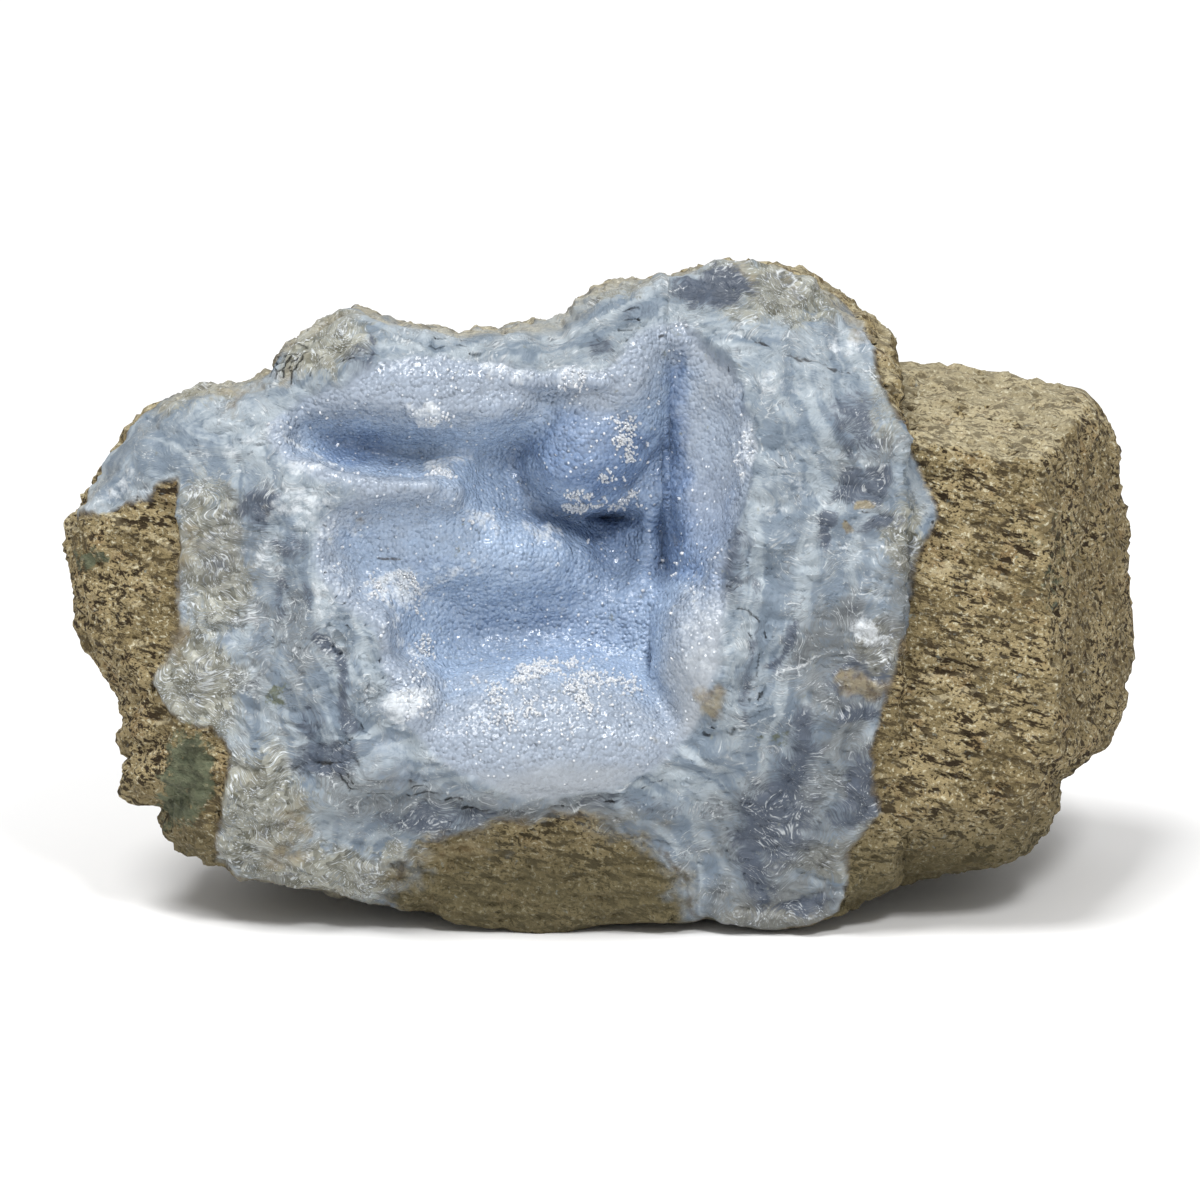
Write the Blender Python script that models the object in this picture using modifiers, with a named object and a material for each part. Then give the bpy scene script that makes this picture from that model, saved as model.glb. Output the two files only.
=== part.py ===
"""Blue lace agate geode: a broken chalcedony nodule in its block of host rock.

The rock is laid out in the plane of its broken face, which leans back a little. There, s runs to
the right, t runs up the face and d comes out of it. Outlines are written in millimetres in that
plane. The finished pieces stand on a flat spot, with the origin at the bottom centre of the whole.
"""

import math

import bmesh
import bpy
import numpy as np
from mathutils import Matrix, Vector, noise
from mathutils.bvhtree import BVHTree

# Driving dimensions, in metres
MM = 0.001
GAP = 0.0003                    # between pieces that touch
FACE_LEAN = math.radians(12)    # how far the broken face leans back from upright
FACE_HEIGHT = 0.0483            # of the middle of the face over the surface that the rock stands on
ROCK_BACK = -0.078              # how far the rock runs back behind its face
SIDE_DEPTH = -0.018             # where the rock is widest, behind the face
BLOCK_DEPTH = -0.040            # the same on the right, where the block turns a corner
FOOT_DEPTH = -0.008             # the same at the bottom, where the rock stands
FRONT_SWELL = 4.0               # how far the face swells before it is planed, in millimetres
NODULE_FRONT = 0.030
NODULE_BACK = -0.046            # how far the chalcedony runs back
NODULE_DOME = (0.078, 0.053, 0.052)
NODULE_MIDDLE = (-0.004, 0.0, 0.006)
CRUST = 0.0022                  # thickness of the crust on the walls of the hollow
CRYSTAL = 0.0007                # height of the crust's crystals
CRYSTAL_SLOPE = 0.32            # a crystal's height for the width of its foot
CRYSTAL_VARIETY = 0.3
CRYSTAL_SPACING = 0.003
CLEAR_OF_GROUND = 0.004         # no crystal stands lower than this
LEAST_FACE = 1.2e-6             # area of the smallest face that carries a crystal
ON_SURFACE = 0.00002            # nearness at which a face counts as lying on a surface
QUARTZ_CRYSTAL = 0.0012         # height of the sugary crystals round the chalcedony
ROOM_HEIGHT = 0.120             # more than the rock's height
UNDERSIDE_SLOPE = math.radians(14)      # at which it rises all round its resting spot

# The silhouette of the rock, in millimetres, from the right and anticlockwise
SILHOUETTE = [
    (76, 0), (75, 8), (73.5, 16), (72.5, 22), (70.5, 26), (67, 28.5), (60, 31), (51, 34),
    (44, 34.5), (42.5, 37), (39, 40), (35, 42.5), (31, 45), (25, 47.2), (19, 47.8), (11, 46),
    (5, 44.8), (-1.5, 42), (-5, 38.6), (-12, 37.4), (-19.5, 36.8), (-26, 38.4), (-31, 39.5),
    (-34, 40.6), (-38, 39), (-42, 36), (-45.5, 32), (-50, 30), (-56, 29), (-62, 26), (-66.5, 22.5),
    (-69, 17.5), (-72, 13.5), (-75, 10), (-74.5, 4), (-72.5, -4), (-69.5, -9), (-67, -14.5),
    (-66.5, -20), (-66, -27), (-62, -28.6), (-59, -34), (-56, -37.5), (-51.5, -40.3),
    (-41.5, -41.4), (-31, -42.8), (-22, -44.5), (-15, -46.6), (-8.3, -47.7), (0, -46),
    (6, -45.2), (15, -45), (20, -46), (25.5, -47), (31, -46), (34.5, -44), (39, -41.5),
    (44.5, -39), (56, -38), (60.5, -35), (63.5, -29), (65, -25), (69, -22), (72.5, -17.5),
    (75, -9),
]

# Flat breaks of the rock: a point in the face's own frame, the way that the break faces, and how
# far to the right it starts
ANYWHERE = -200
BLOCK_START = 38
BREAKS = {
    "block_front": ((52, 0, -2.0), (-0.05, 0.0, 1.0), BLOCK_START),
    "block_top": ((56, 21.5, -2.0), (0.13, 1.0, 0.29), BLOCK_START),
    "block_end": ((63.5, 0, -1.5), (1.0, 0.06, 0.30), ANYWHERE),
    "block_foot": ((56, -29, -3.0), (0.12, -1.0, 0.50), BLOCK_START),
    "block_corner": ((68, -24, -12.0), (0.9, -0.8, 0.35), ANYWHERE),
    "left_slab": ((-62, 0, -6.0), (-0.42, 0.0, 1.0), ANYWHERE),
    "left_foot": ((-48, -34, -6.0), (-0.35, -0.5, 1.0), ANYWHERE),
    "chin": ((5, -40, -2.0), (0.0, -0.45, 1.0), ANYWHERE),
    "brow": ((-10, 34, -2.5), (0.0, 0.62, 1.0), ANYWHERE),
    "crown": ((25, 42, -4.0), (0.1, 0.75, 1.0), ANYWHERE),
    "back_left": ((-44, 0, -58.0), (-0.75, 0.0, -1.0), ANYWHERE),
    "back_right": ((52, 5, -62.0), (0.60, 0.25, -1.0), ANYWHERE),
    "back_top": ((0, 33, -60.0), (0.0, 0.9, -1.0), ANYWHERE),
    "back": ((5, 0, -75.0), (0.05, 0.1, -1.0), ANYWHERE),
}

# Shallow chips in the broken face, in millimetres: middle, reach and depth
CHIPS = [
    ((-50, 4), 10, 1.8), ((-44, 24), 9, 1.6), ((-47, -25), 11, 2.2), ((-33, -30), 9, 2.0),
    ((-14, 35), 9, 1.8), ((24, 33), 9, 1.6), ((36, 14), 8, 1.8), ((31, -18), 9, 2.0),
    ((22, -33), 9, 1.8), ((58, 8), 9, 1.0), ((50, -14), 10, 1.2), ((-68, -4), 7, 1.4),
    ((2, -36), 8, 1.6), ((-20, -37), 8, 1.4), ((40, 40), 7, 1.8),
]

# The contact of the chalcedony with the rock, in millimetres. It runs outside the silhouette
# along the top and at the lower left, where no rock is left in front.
CONTACT = [
    (-83, 14), (-69, 25), (-56, 33), (-46, 36), (-36, 44), (-21, 41), (-8, 42), (0, 46), (14, 51),
    (27, 50), (35, 43), (37.5, 35.5), (39, 30), (42.5, 23.5), (45.5, 16.5), (46.5, 11), (43.5, 5.5),
    (42.5, -3), (41, -10), (39, -15), (37.5, -22), (39.5, -30), (35, -35), (34, -44), (30, -52),
    (19, -52), (13.5, -44), (12, -39), (8, -34), (0, -31), (-7, -29.5), (-15, -31), (-23, -34),
    (-28, -38), (-31, -46), (-42, -48), (-53, -44), (-58, -40), (-53.5, -35), (-52.5, -28),
    (-51.5, -22), (-53.5, -17.5), (-60, -16), (-62.5, -12.5), (-60.5, -8.5), (-58.7, -3),
    (-58.5, 6), (-58.8, 17), (-63, 15), (-70, 12.5), (-78, 11),
]

# The flat spot that the rock stands on, seen from above in the rock's own frame, in millimetres
REST_SPOT = [(-12, -1), (24, 3.5), (29, 29.5), (19, 48.5), (-12, 49.5), (-27, 29.5)]
REST_MIDDLE = (2, 26)

# The hollow is several pockets run together: a centre, three half widths, a turn in the plane of
# the face and a lean that sinks the right end, in millimetres and degrees
HOLLOW = {
    "bowl": ((-7.6, -5.0, -1), (24.5, 23.5, 35), 0, 0),
    "middle": ((-5.0, 8.0, -1), (19.0, 14.0, 38), 0, 0),
    "upper_bowl": ((-3.0, 19.5, -1), (19.0, 12.5, 36), 0, 0),
    "left_pocket": ((-26.0, 21.0, -1), (18.5, 8.0, 17), -4, 0),
    "left_shelf": ((-26.5, 6.0, 0), (15.0, 11.0, 14), -10, 0),
    "right_channel": ((13.2, 20.5, -1), (7.0, 19.5, 24), 0, 0),
    "crease": ((8.5, 1.0, -4), (5.0, 15.0, 33), 0, 0),
}

# Mounds and hanging lobes that the crust makes in the hollow, written like the pockets
LOBES = {
    "hanging_lobe": ((-1.2, 24.0, -22), (10.0, 10.5, 16), 0, 0),
    "floor": ((-6.0, -9.0, -36), (24.0, 20.0, 22), 0, 0),
    "shelf": ((-23.0, 8.5, -18), (24.0, 9.0, 14), -12, 14),
    "mound": ((-8.0, -18.5, -16), (19.5, 11.0, 17), 0, 0),
    "right_lobe": ((20.5, -7.5, -12), (12.0, 14.5, 14), 0, 0),
    "white_lobe": ((-28.5, -14.5, -12), (8.0, 7.0, 12), 0, 0),
    "green_lobe": ((-29.0, -21.5, -9), (6.5, 5.0, 10), 0, 0),
    "upper_bulge": ((-21.5, 26.5, -18), (10.0, 7.0, 13), 0, 0),
}

# Where the margin of the chalcedony is sugary quartz: a centre and a reach on the face
QUARTZ_SPOTS = [
    ((-52, -2), 9), ((-50, -16), 9), ((-48, -30), 10), ((-41, -36), 8), ((-36, 34), 7),
    ((20, 44), 8), ((33, 38), 7), ((42, 10), 6), ((41, -4), 6), ((26, -43), 8),
]

NOISE_SEED = 4
ROUGHNESS = ((19, 1.2), (7, 0.7), (3.5, 0.35))      # size and height of the rock's lumps and pits
LOBE_ROUGHNESS = (6, 0.5)
FINER = 2.3                     # how much finer the second layer of each noise is

# The round body that the rock is broken from: how far out each ring lies, and behind the widest
# line also how far back
MERIDIANS = 150
FRONT_RINGS = (
    0.12, 0.22, 0.31, 0.39, 0.46, 0.53, 0.59, 0.65, 0.70, 0.75, 0.79, 0.83, 0.87, 0.90, 0.93,
    0.96, 0.985,
)
BACK_RINGS = (
    (0.995, 0.10), (0.98, 0.22), (0.96, 0.33), (0.93, 0.44), (0.90, 0.54), (0.86, 0.64),
    (0.80, 0.74), (0.72, 0.83), (0.63, 0.90), (0.52, 0.95), (0.38, 0.98), (0.2, 1.0),
)
BLOCK_SIDE = (2, 62)            # in degrees, the middle and spread of the block's side
FOOT_SIDE = (-88, 52)
SIDE_FLAT = 1.7                 # how wide the full depth of a side is held
FACE_EDGE = 9                   # how sharply the face turns into the sides
BLOCK_EDGE = 20
BREAK_BLEND = 4.0               # over how much width a break starts, in millimetres
CHIPPED_DEPTH = -12.0           # chips reach no further back, in millimetres
SKIN_VOXEL = 0.0012             # fineness at which rounded shapes are run together
BLOCK_FACES = 2700              # triangles of the whole rock before it is parted
HOLLOW_FACES = 640
LOBE_FACES = 2600
SPACE_FACES = 1250

COLOURS = {
    "matrix_rock": ((0.205, 0.160, 0.085), 0.9),
    "agate_lining": ((0.400, 0.465, 0.520), 0.42),
    "crystal_crust": ((0.310, 0.400, 0.530), 0.35),
}


def face_frame():
    """The matrix from face millimetres, ordered s, t, d, to metres with Z up."""
    lean = Matrix((
        (1, 0, 0, 0),
        (0, math.sin(FACE_LEAN), -math.cos(FACE_LEAN), 0),
        (0, math.cos(FACE_LEAN), math.sin(FACE_LEAN), FACE_HEIGHT),
        (0, 0, 0, 1),
    ))
    return lean @ Matrix.Diagonal((MM, MM, MM, 1))


def collection(name):
    made = bpy.data.collections.new(name)
    bpy.context.scene.collection.children.link(made)
    return made


def add_object(name, mesh, home):
    made = bpy.data.objects.new(name, mesh)
    home.objects.link(made)
    return made


def as_cutter(obj):
    obj.hide_render = True
    obj.display_type = "WIRE"
    return obj


def mesh_object(name, bm, home):
    mesh = bpy.data.meshes.new(name)
    bmesh.ops.recalc_face_normals(bm, faces=bm.faces)
    bm.to_mesh(mesh)
    bm.free()
    return add_object(name, mesh, home)


def silhouette_reach(angle):
    """Distance from the middle of the face to the silhouette, along an angle, in millimetres."""
    points = np.array(SILHOUETTE, float)
    angles = np.arctan2(points[:, 1], points[:, 0])
    order = np.argsort(angles)
    reach = np.hypot(points[:, 0], points[:, 1])
    return float(np.interp(angle, angles[order], reach[order], period=2 * math.pi))


def share_near(angle, middle, spread):
    """From 1 at an angle to 0 at a spread away from it, in degrees, with a soft start and end."""
    off = abs((math.degrees(angle) - middle + 180) % 360 - 180) / spread
    off = max(0.0, min(1.0, off))
    return 1 - off * off * (3 - 2 * off)


def side_depth(angle):
    """Depth of the widest line: far back on the block at the right, and near the face below."""
    block = min(1.0, SIDE_FLAT * share_near(angle, *BLOCK_SIDE))
    foot = min(1.0, SIDE_FLAT * share_near(angle, *FOOT_SIDE))
    depth = SIDE_DEPTH + (BLOCK_DEPTH - SIDE_DEPTH) * block + (FOOT_DEPTH - SIDE_DEPTH) * foot
    return depth / MM, block


def planed(point, place, facing, start):
    """Presses a point that lies past a flat break back onto it."""
    normal = Vector(facing).normalized()
    past = (point - Vector(place)).dot(normal)
    inside = max(0.0, min(1.0, (point.x - start) / BREAK_BLEND))
    return point - normal * past * inside if past > 0 else point


def chipped(point):
    """Sinks a point of the broken face into the shallow chips that it lies in."""
    for middle, reach, depth in CHIPS:
        off = math.hypot(point.x - middle[0], point.y - middle[1]) / reach
        if off < 1 and point.z > CHIPPED_DEPTH:
            point = point - Vector((0, 0, depth * (1 - off ** 4)))
    return point


def rough(point, size, height):
    """Moves a point by a broken, lumpy noise of a given size and height in millimetres."""
    spot = point / size
    lumps = noise.noise_vector(spot) + 0.5 * noise.noise_vector(spot * FINER)
    return point + height * lumps


def block_point(angle, ring):
    """A point of the whole rock's skin: an angle round the face and a ring from front to back."""
    reach = silhouette_reach(angle)
    widest, block = side_depth(angle)
    front = len(FRONT_RINGS)
    if ring <= front:
        share = FRONT_RINGS[ring - 1] if ring else 0.0
        edge = FACE_EDGE + (BLOCK_EDGE - FACE_EDGE) * block
        depth = FRONT_SWELL + (widest - FRONT_SWELL) * share ** edge
    elif ring == front + 1:
        share, depth = 1.0, widest
    elif ring <= front + 1 + len(BACK_RINGS):
        share, back = BACK_RINGS[ring - front - 2]
        depth = widest + (ROCK_BACK / MM - widest) * back
    else:
        share, depth = 0.0, ROCK_BACK / MM
    return Vector((math.cos(angle) * reach * share, math.sin(angle) * reach * share, depth))


def build_block(home):
    """The whole rock as a round body, planed along its breaks, chipped and roughened."""
    bm = bmesh.new()
    steps = len(FRONT_RINGS) + len(BACK_RINGS) + 2
    bmesh.ops.create_uvsphere(bm, u_segments=MERIDIANS, v_segments=steps, radius=1)
    for vert in bm.verts:
        ring = round(math.acos(max(-1.0, min(1.0, vert.co.z))) / math.pi * steps)
        point = block_point(math.atan2(vert.co.y, vert.co.x), ring)
        for place, facing, start in BREAKS.values():
            point = planed(point, place, facing, start)
        point = chipped(point)
        for size, height in ROUGHNESS:
            point = rough(point, size, height)
        vert.co = point
    block = mesh_object("whole_rock", bm, home)
    block.data.transform(face_frame())
    fused(block, BLOCK_FACES)
    boolean(block, build_room_over_ground(home), "INTERSECT")
    return as_cutter(block)


def build_room_over_ground(home):
    """All that may be rock: it starts at the flat resting spot and widens evenly from there."""
    room = outlined_solid("room_over_ground", REST_SPOT, ROOM_HEIGHT, 0, home)
    middle = Vector(REST_MIDDLE) * MM
    for vert in room.data.vertices:
        outward = vert.co.xy - middle
        widening = vert.co.z / math.tan(UNDERSIDE_SLOPE)
        vert.co.xy = middle + outward * (1 + widening / outward.length)
    return room


def outlined_solid(name, outline, front, back, home, grow=0.0):
    """A flat outline, grown sideways by an even amount, given thickness from front to back."""
    curve = bpy.data.curves.new(name, "CURVE")
    curve.dimensions = "2D"
    curve.fill_mode = "BOTH"
    curve.offset = grow
    curve.extrude = (front - back) / 2
    spline = curve.splines.new("POLY")
    spline.points.add(len(outline) - 1)
    for point, (across, up) in zip(spline.points, outline):
        point.co = (across * MM, up * MM, 0, 1)
    spline.use_cyclic_u = True
    shape = add_object(name + "_outline", curve, home)
    graph = bpy.context.evaluated_depsgraph_get()
    mesh = bpy.data.meshes.new_from_object(shape.evaluated_get(graph))
    bpy.data.objects.remove(shape)
    mesh.transform(Matrix.Translation((0, 0, (front + back) / 2)))
    bm = bmesh.new()
    bm.from_mesh(mesh)
    bpy.data.meshes.remove(mesh)
    bmesh.ops.remove_doubles(bm, verts=bm.verts, dist=0.00005)
    return as_cutter(mesh_object(name, bm, home))


def pockets(name, shapes, home, shrink=0.0):
    """Ellipsoids joined in one mesh, with their half widths shrunk by some millimetres."""
    bm = bmesh.new()
    for centre, widths, turn, lean in shapes.values():
        size = Vector(widths) - Vector((shrink, shrink, shrink))
        turned = Matrix.Rotation(math.radians(turn), 4, "Z")
        leant = Matrix.Rotation(math.radians(lean), 4, "Y")
        place = Matrix.Translation(centre) @ turned @ leant @ Matrix.Diagonal((*size, 1))
        bmesh.ops.create_icosphere(bm, subdivisions=4, radius=1, matrix=place)
    made = mesh_object(name, bm, home)
    made.data.transform(Matrix.Diagonal((MM, MM, MM, 1)))
    return as_cutter(made)


def apply_modifiers(obj):
    """Replaces the object's mesh by what its modifiers make of it."""
    bpy.context.view_layer.update()
    graph = bpy.context.evaluated_depsgraph_get()
    mesh = bpy.data.meshes.new_from_object(obj.evaluated_get(graph))
    obj.modifiers.clear()
    obj.data = mesh


def boolean(obj, other, operation):
    cut = obj.modifiers.new(operation.lower(), "BOOLEAN")
    cut.operation = operation
    cut.object = other
    cut.solver = "EXACT"
    apply_modifiers(obj)


def fused(obj, faces, rounds=0):
    """Runs overlapping shapes together into one skin, evened out by some rounds of smoothing."""
    remesh = obj.modifiers.new("one_skin", "REMESH")
    remesh.mode = "VOXEL"
    remesh.voxel_size = SKIN_VOXEL
    apply_modifiers(obj)
    if rounds:
        even = obj.modifiers.new("evened", "SMOOTH")
        even.iterations = rounds
        apply_modifiers(obj)
    thin_out(obj, faces)


def thin_out(obj, faces):
    """Lowers the number of triangles to about the given one."""
    triangles = sum(len(polygon.vertices) - 2 for polygon in obj.data.polygons)
    if triangles <= faces:
        return
    fewer = obj.modifiers.new("fewer_faces", "DECIMATE")
    fewer.ratio = faces / triangles
    fewer.use_collapse_triangulate = True
    apply_modifiers(obj)


def swollen(obj, name, amount, home):
    """A copy whose walls stand out by an even amount, or in if it is negative."""
    bm = bmesh.new()
    bm.from_mesh(obj.data)
    bm.normal_update()
    moves = {vert: vert.normal * amount * min(vert.calc_shell_factor(), 2.0) for vert in bm.verts}
    for vert, move in moves.items():
        vert.co += move
    return as_cutter(mesh_object(name, bm, home))


def copy_of(obj, name, home):
    made = add_object(name, obj.data.copy(), home)
    made.hide_render = False
    return made


def roughened(obj, size, height):
    """Moves a mesh's points by noise, whose size and height are in millimetres."""
    for vert in obj.data.vertices:
        vert.co = rough(vert.co / MM, size, height) * MM


def build_nodule(name, home, grow=0.0):
    """The body of the chalcedony: its contact outline, rounded off towards the back."""
    nodule = outlined_solid(name, CONTACT, NODULE_FRONT, NODULE_BACK - grow, home, grow)
    reach = [width + grow for width in NODULE_DOME]
    place = Matrix.Translation(NODULE_MIDDLE) @ Matrix.Diagonal((*reach, 1))
    bm = bmesh.new()
    bmesh.ops.create_icosphere(bm, subdivisions=3, radius=1, matrix=place)
    dome = as_cutter(mesh_object(name + "_dome", bm, home))
    boolean(nodule, dome, "INTERSECT")
    return nodule


def build_hollow(home):
    """The space that the chalcedony leaves, before its crust, and the open space inside that."""
    hollow = pockets("hollow", HOLLOW, home)
    fused(hollow, HOLLOW_FACES, rounds=4)
    lobes = pockets("lobes", LOBES, home)
    fused(lobes, LOBE_FACES, rounds=12)
    roughened(lobes, *LOBE_ROUGHNESS)
    space = pockets("open_space", HOLLOW, home, shrink=CRUST / MM)
    fused(space, LOBE_FACES, rounds=4)
    boolean(space, lobes, "DIFFERENCE")
    fused(space, SPACE_FACES, rounds=2)
    return hollow, space


def body_of(vert):
    """All points that edges join to a point, with the point itself."""
    body, rim = {vert}, [vert]
    while rim:
        for edge in rim.pop().link_edges:
            for other in set(edge.verts) - body:
                body.add(other)
                rim.append(other)
    return body


def drop_crumbs(obj):
    """Leaves only the largest body of a mesh that a cut has parted."""
    bm = bmesh.new()
    bm.from_mesh(obj.data)
    left, bodies = set(bm.verts), []
    while left:
        bodies.append(body_of(next(iter(left))))
        left -= bodies[-1]
    largest = max(bodies, key=len)
    crumbs = [vert for vert in bm.verts if vert not in largest]
    bmesh.ops.delete(bm, geom=crumbs, context="VERTS")
    bm.to_mesh(obj.data)
    bm.free()


def raise_crystals(obj, chosen, height):
    """Gives every chosen face a pyramid with flat sides, no taller than the height."""
    bm = bmesh.new()
    bm.from_mesh(obj.data)
    bmesh.ops.triangulate(bm, faces=bm.faces)
    bm.normal_update()
    for face in [face for face in bm.faces if chosen(face)]:
        middle = face.calc_center_median()
        tall = min(height, CRYSTAL_SLOPE * math.sqrt(face.calc_area()))
        uneven = 1 + CRYSTAL_VARIETY * noise.noise(middle / CRYSTAL_SPACING)
        tip = middle + face.normal * tall * uneven
        made = bmesh.ops.poke(bm, faces=[face])
        made["verts"][0].co = tip
    bm.to_mesh(obj.data)
    bm.free()


def finish_of(name):
    """A plain surface in the piece's own colour."""
    colour, roughness = COLOURS[name]
    material = bpy.data.materials.new(name + "_finish")
    material.use_nodes = True
    shader = material.node_tree.nodes["Principled BSDF"]
    shader.inputs["Base Color"].default_value = (*colour, 1)
    shader.inputs["Roughness"].default_value = roughness
    shader.inputs["Metallic"].default_value = 0.0
    return material


def set_on_origin(pieces):
    """Moves the pieces together, so that the bottom centre of their common box is the origin."""
    corners = np.array([vert.co for piece in pieces for vert in piece.data.vertices])
    low, high = corners.min(axis=0), corners.max(axis=0)
    middle = (low + high) / 2
    for piece in pieces:
        piece.data.transform(Matrix.Translation((-middle[0], -middle[1], -low[2])))


def main():
    for obj in list(bpy.data.objects):
        bpy.data.objects.remove(obj)
    noise.seed_set(NOISE_SEED)
    parts = collection("blue_lace_agate_geode")
    cutters = collection("cutters")
    frame = face_frame()
    upright = frame @ Matrix.Diagonal((1 / MM, 1 / MM, 1 / MM, 1))

    block = build_block(cutters)
    nodule = build_nodule("nodule", cutters)
    bed = build_nodule("nodule_bed", cutters, grow=GAP)
    hollow, space = build_hollow(cutters)
    for shape in (nodule, bed, hollow, space):
        shape.data.transform(upright)

    rock = copy_of(block, "matrix_rock", parts)
    boolean(rock, bed, "DIFFERENCE")

    agate = copy_of(block, "agate_lining", parts)
    boolean(agate, nodule, "INTERSECT")
    boolean(agate, hollow, "DIFFERENCE")

    crust = copy_of(block, "crystal_crust", parts)
    boolean(crust, swollen(hollow, "crust_bed", -GAP, cutters), "INTERSECT")
    boolean(crust, space, "DIFFERENCE")
    for piece in (rock, agate, crust):
        drop_crumbs(piece)

    to_face = frame.inverted()
    skin = BVHTree.FromObject(block, bpy.context.evaluated_depsgraph_get())
    lining = BVHTree.FromObject(space, bpy.context.evaluated_depsgraph_get())

    def is_druse(face):
        """A face of the crust that looks into the hollow."""
        distance = lining.find_nearest(face.calc_center_median())[3]
        return distance < ON_SURFACE and face.calc_area() > LEAST_FACE

    def is_quartz(face):
        """A face of the broken front in the sugary margin of the chalcedony."""
        middle = face.calc_center_median()
        place = to_face @ middle
        near = any(math.dist(place[:2], spot) < reach for spot, reach in QUARTZ_SPOTS)
        raised = near and middle.z > CLEAR_OF_GROUND and face.calc_area() > LEAST_FACE
        return raised and skin.find_nearest(middle)[3] < ON_SURFACE

    raise_crystals(crust, is_druse, CRYSTAL)
    raise_crystals(agate, is_quartz, QUARTZ_CRYSTAL)

    pieces = (rock, agate, crust)
    set_on_origin(pieces)
    for piece in pieces:
        piece.data.materials.clear()
        piece.data.materials.append(finish_of(piece.name))


main()
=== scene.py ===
"""Looks of a blue lace agate geode: banded blue chalcedony round a druse-lined hollow, in its rock.

The forms are worked out in the plane of the broken face, in millimetres: s runs to the right, t up
the face and d out of it, towards whoever looks at it. One net of points is laid over the whole
specimen and parted into host rock, agate lining and crystal crust, which share their contacts.
"""

import logging
import math
from collections.abc import Callable
from dataclasses import dataclass, field
from enum import Enum, IntEnum

import bpy
import numpy as np
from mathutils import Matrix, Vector


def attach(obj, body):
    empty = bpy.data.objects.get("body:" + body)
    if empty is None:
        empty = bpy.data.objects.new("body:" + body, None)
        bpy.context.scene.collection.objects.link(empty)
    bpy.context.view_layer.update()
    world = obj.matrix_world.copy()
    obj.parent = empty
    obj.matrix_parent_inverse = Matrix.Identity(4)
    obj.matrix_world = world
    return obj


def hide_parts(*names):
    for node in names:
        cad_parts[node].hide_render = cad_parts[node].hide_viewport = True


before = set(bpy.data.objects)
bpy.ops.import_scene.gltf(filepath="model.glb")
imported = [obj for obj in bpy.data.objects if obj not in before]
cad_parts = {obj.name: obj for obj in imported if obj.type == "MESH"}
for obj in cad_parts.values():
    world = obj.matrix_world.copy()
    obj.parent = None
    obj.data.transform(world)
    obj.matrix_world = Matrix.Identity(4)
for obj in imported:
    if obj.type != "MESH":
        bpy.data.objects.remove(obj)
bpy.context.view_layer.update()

LOG = logging.getLogger("geode")
MM = 0.001

Array = np.ndarray
Colour = tuple[float, float, float]


class Skin(IntEnum):
    """What fills a spot of space."""

    AIR = 0
    ROCK = 1
    AGATE = 2
    CRUST = 3


class Mark(Enum):
    """What a patch or line of the broken face stands for."""

    WHITE = "white crust"
    # deep blue chalcedony on the broken face, and painted shade in the hollow's pockets, creases and undercuts
    DEEP = "deep blue chalcedony"
    WARM = "rusty stain"
    GREEN = "green earth"
    QUARTZ = "sugary quartz"
    # large bright crystals, and where painted white glints are laid on the druse
    SPARK = "large bright crystals"
    SMOOTH = "smooth skin"
    INK = "open crack"
    SHINE = "pale ridge"
    CRISP = "sharp rim"
    DRAB = "greyish chalcedony"


def shade(red: float, green: float, blue: float) -> Colour:
    """A colour as it looks, from 0 to 255, turned into amounts of light."""
    parts = [value / 255 for value in (red, green, blue)]
    return tuple(part / 12.92 if part <= 0.04045 else ((part + 0.055) / 1.055) ** 2.4 for part in parts)


@dataclass(frozen=True)
class FaceFrame:
    """The leaning plane of the broken face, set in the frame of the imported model."""

    lean: float = math.radians(12)
    middle: tuple[float, float, float] = (-0.000234, -0.033779, 0.0483)

    def turn(self) -> Array:
        """The directions of s, t and d, one a row."""
        sine, cosine = math.sin(self.lean), math.cos(self.lean)
        return np.array([(1, 0, 0), (0, sine, cosine), (0, -cosine, sine)], float)

    def to_model(self, points: Array) -> Array:
        """Points of the face frame, in millimetres, as metres of the model."""
        return points @ self.turn() * MM + np.array(self.middle)

    def height(self, points: Array) -> Array:
        """Height of points over the surface that the specimen stands on, in millimetres."""
        return points @ self.turn()[:, 2] + self.middle[2] / MM


FACE = FaceFrame()


def smooth_max(one: Array, other: Array, width: Array | float) -> Array:
    """The greater of two values, with the crease between them rounded.

    Args:
        one: first values.
        other: second values.
        width: how wide the rounding is.

    Returns:
        The rounded maximum.
    """
    near = np.clip(0.5 + 0.5 * (one - other) / width, 0, 1)
    return other + (one - other) * near + width * near * (1 - near)


def smooth_min(one: Array, other: Array, width: Array | float) -> Array:
    """The lesser of two values, with the crease between them rounded."""
    return -smooth_max(-one, -other, width)


def fade(values: Array, start: float, end: float) -> Array:
    """From 0 at one value to 1 at another, with a soft start and end."""
    share = np.clip((values - start) / (end - start), 0, 1)
    return share * share * (3 - 2 * share)


def stretched(points: Array, turn: float, along: float, across: float, deep: float) -> Array:
    """Places in which lines along the face look like round grains.

    Args:
        points: where, three numbers a row.
        turn: angle of the lines, in degrees.
        along: length of a grain.
        across: its height on the face.
        deep: its depth into the face.

    Returns:
        Places for noise of size 1.
    """
    cosine, sine = math.cos(math.radians(turn)), math.sin(math.radians(turn))
    s, t, d = points.T
    return np.stack([(s * cosine + t * sine) / along, (t * cosine - s * sine) / across, d / deep], axis=1)


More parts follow.
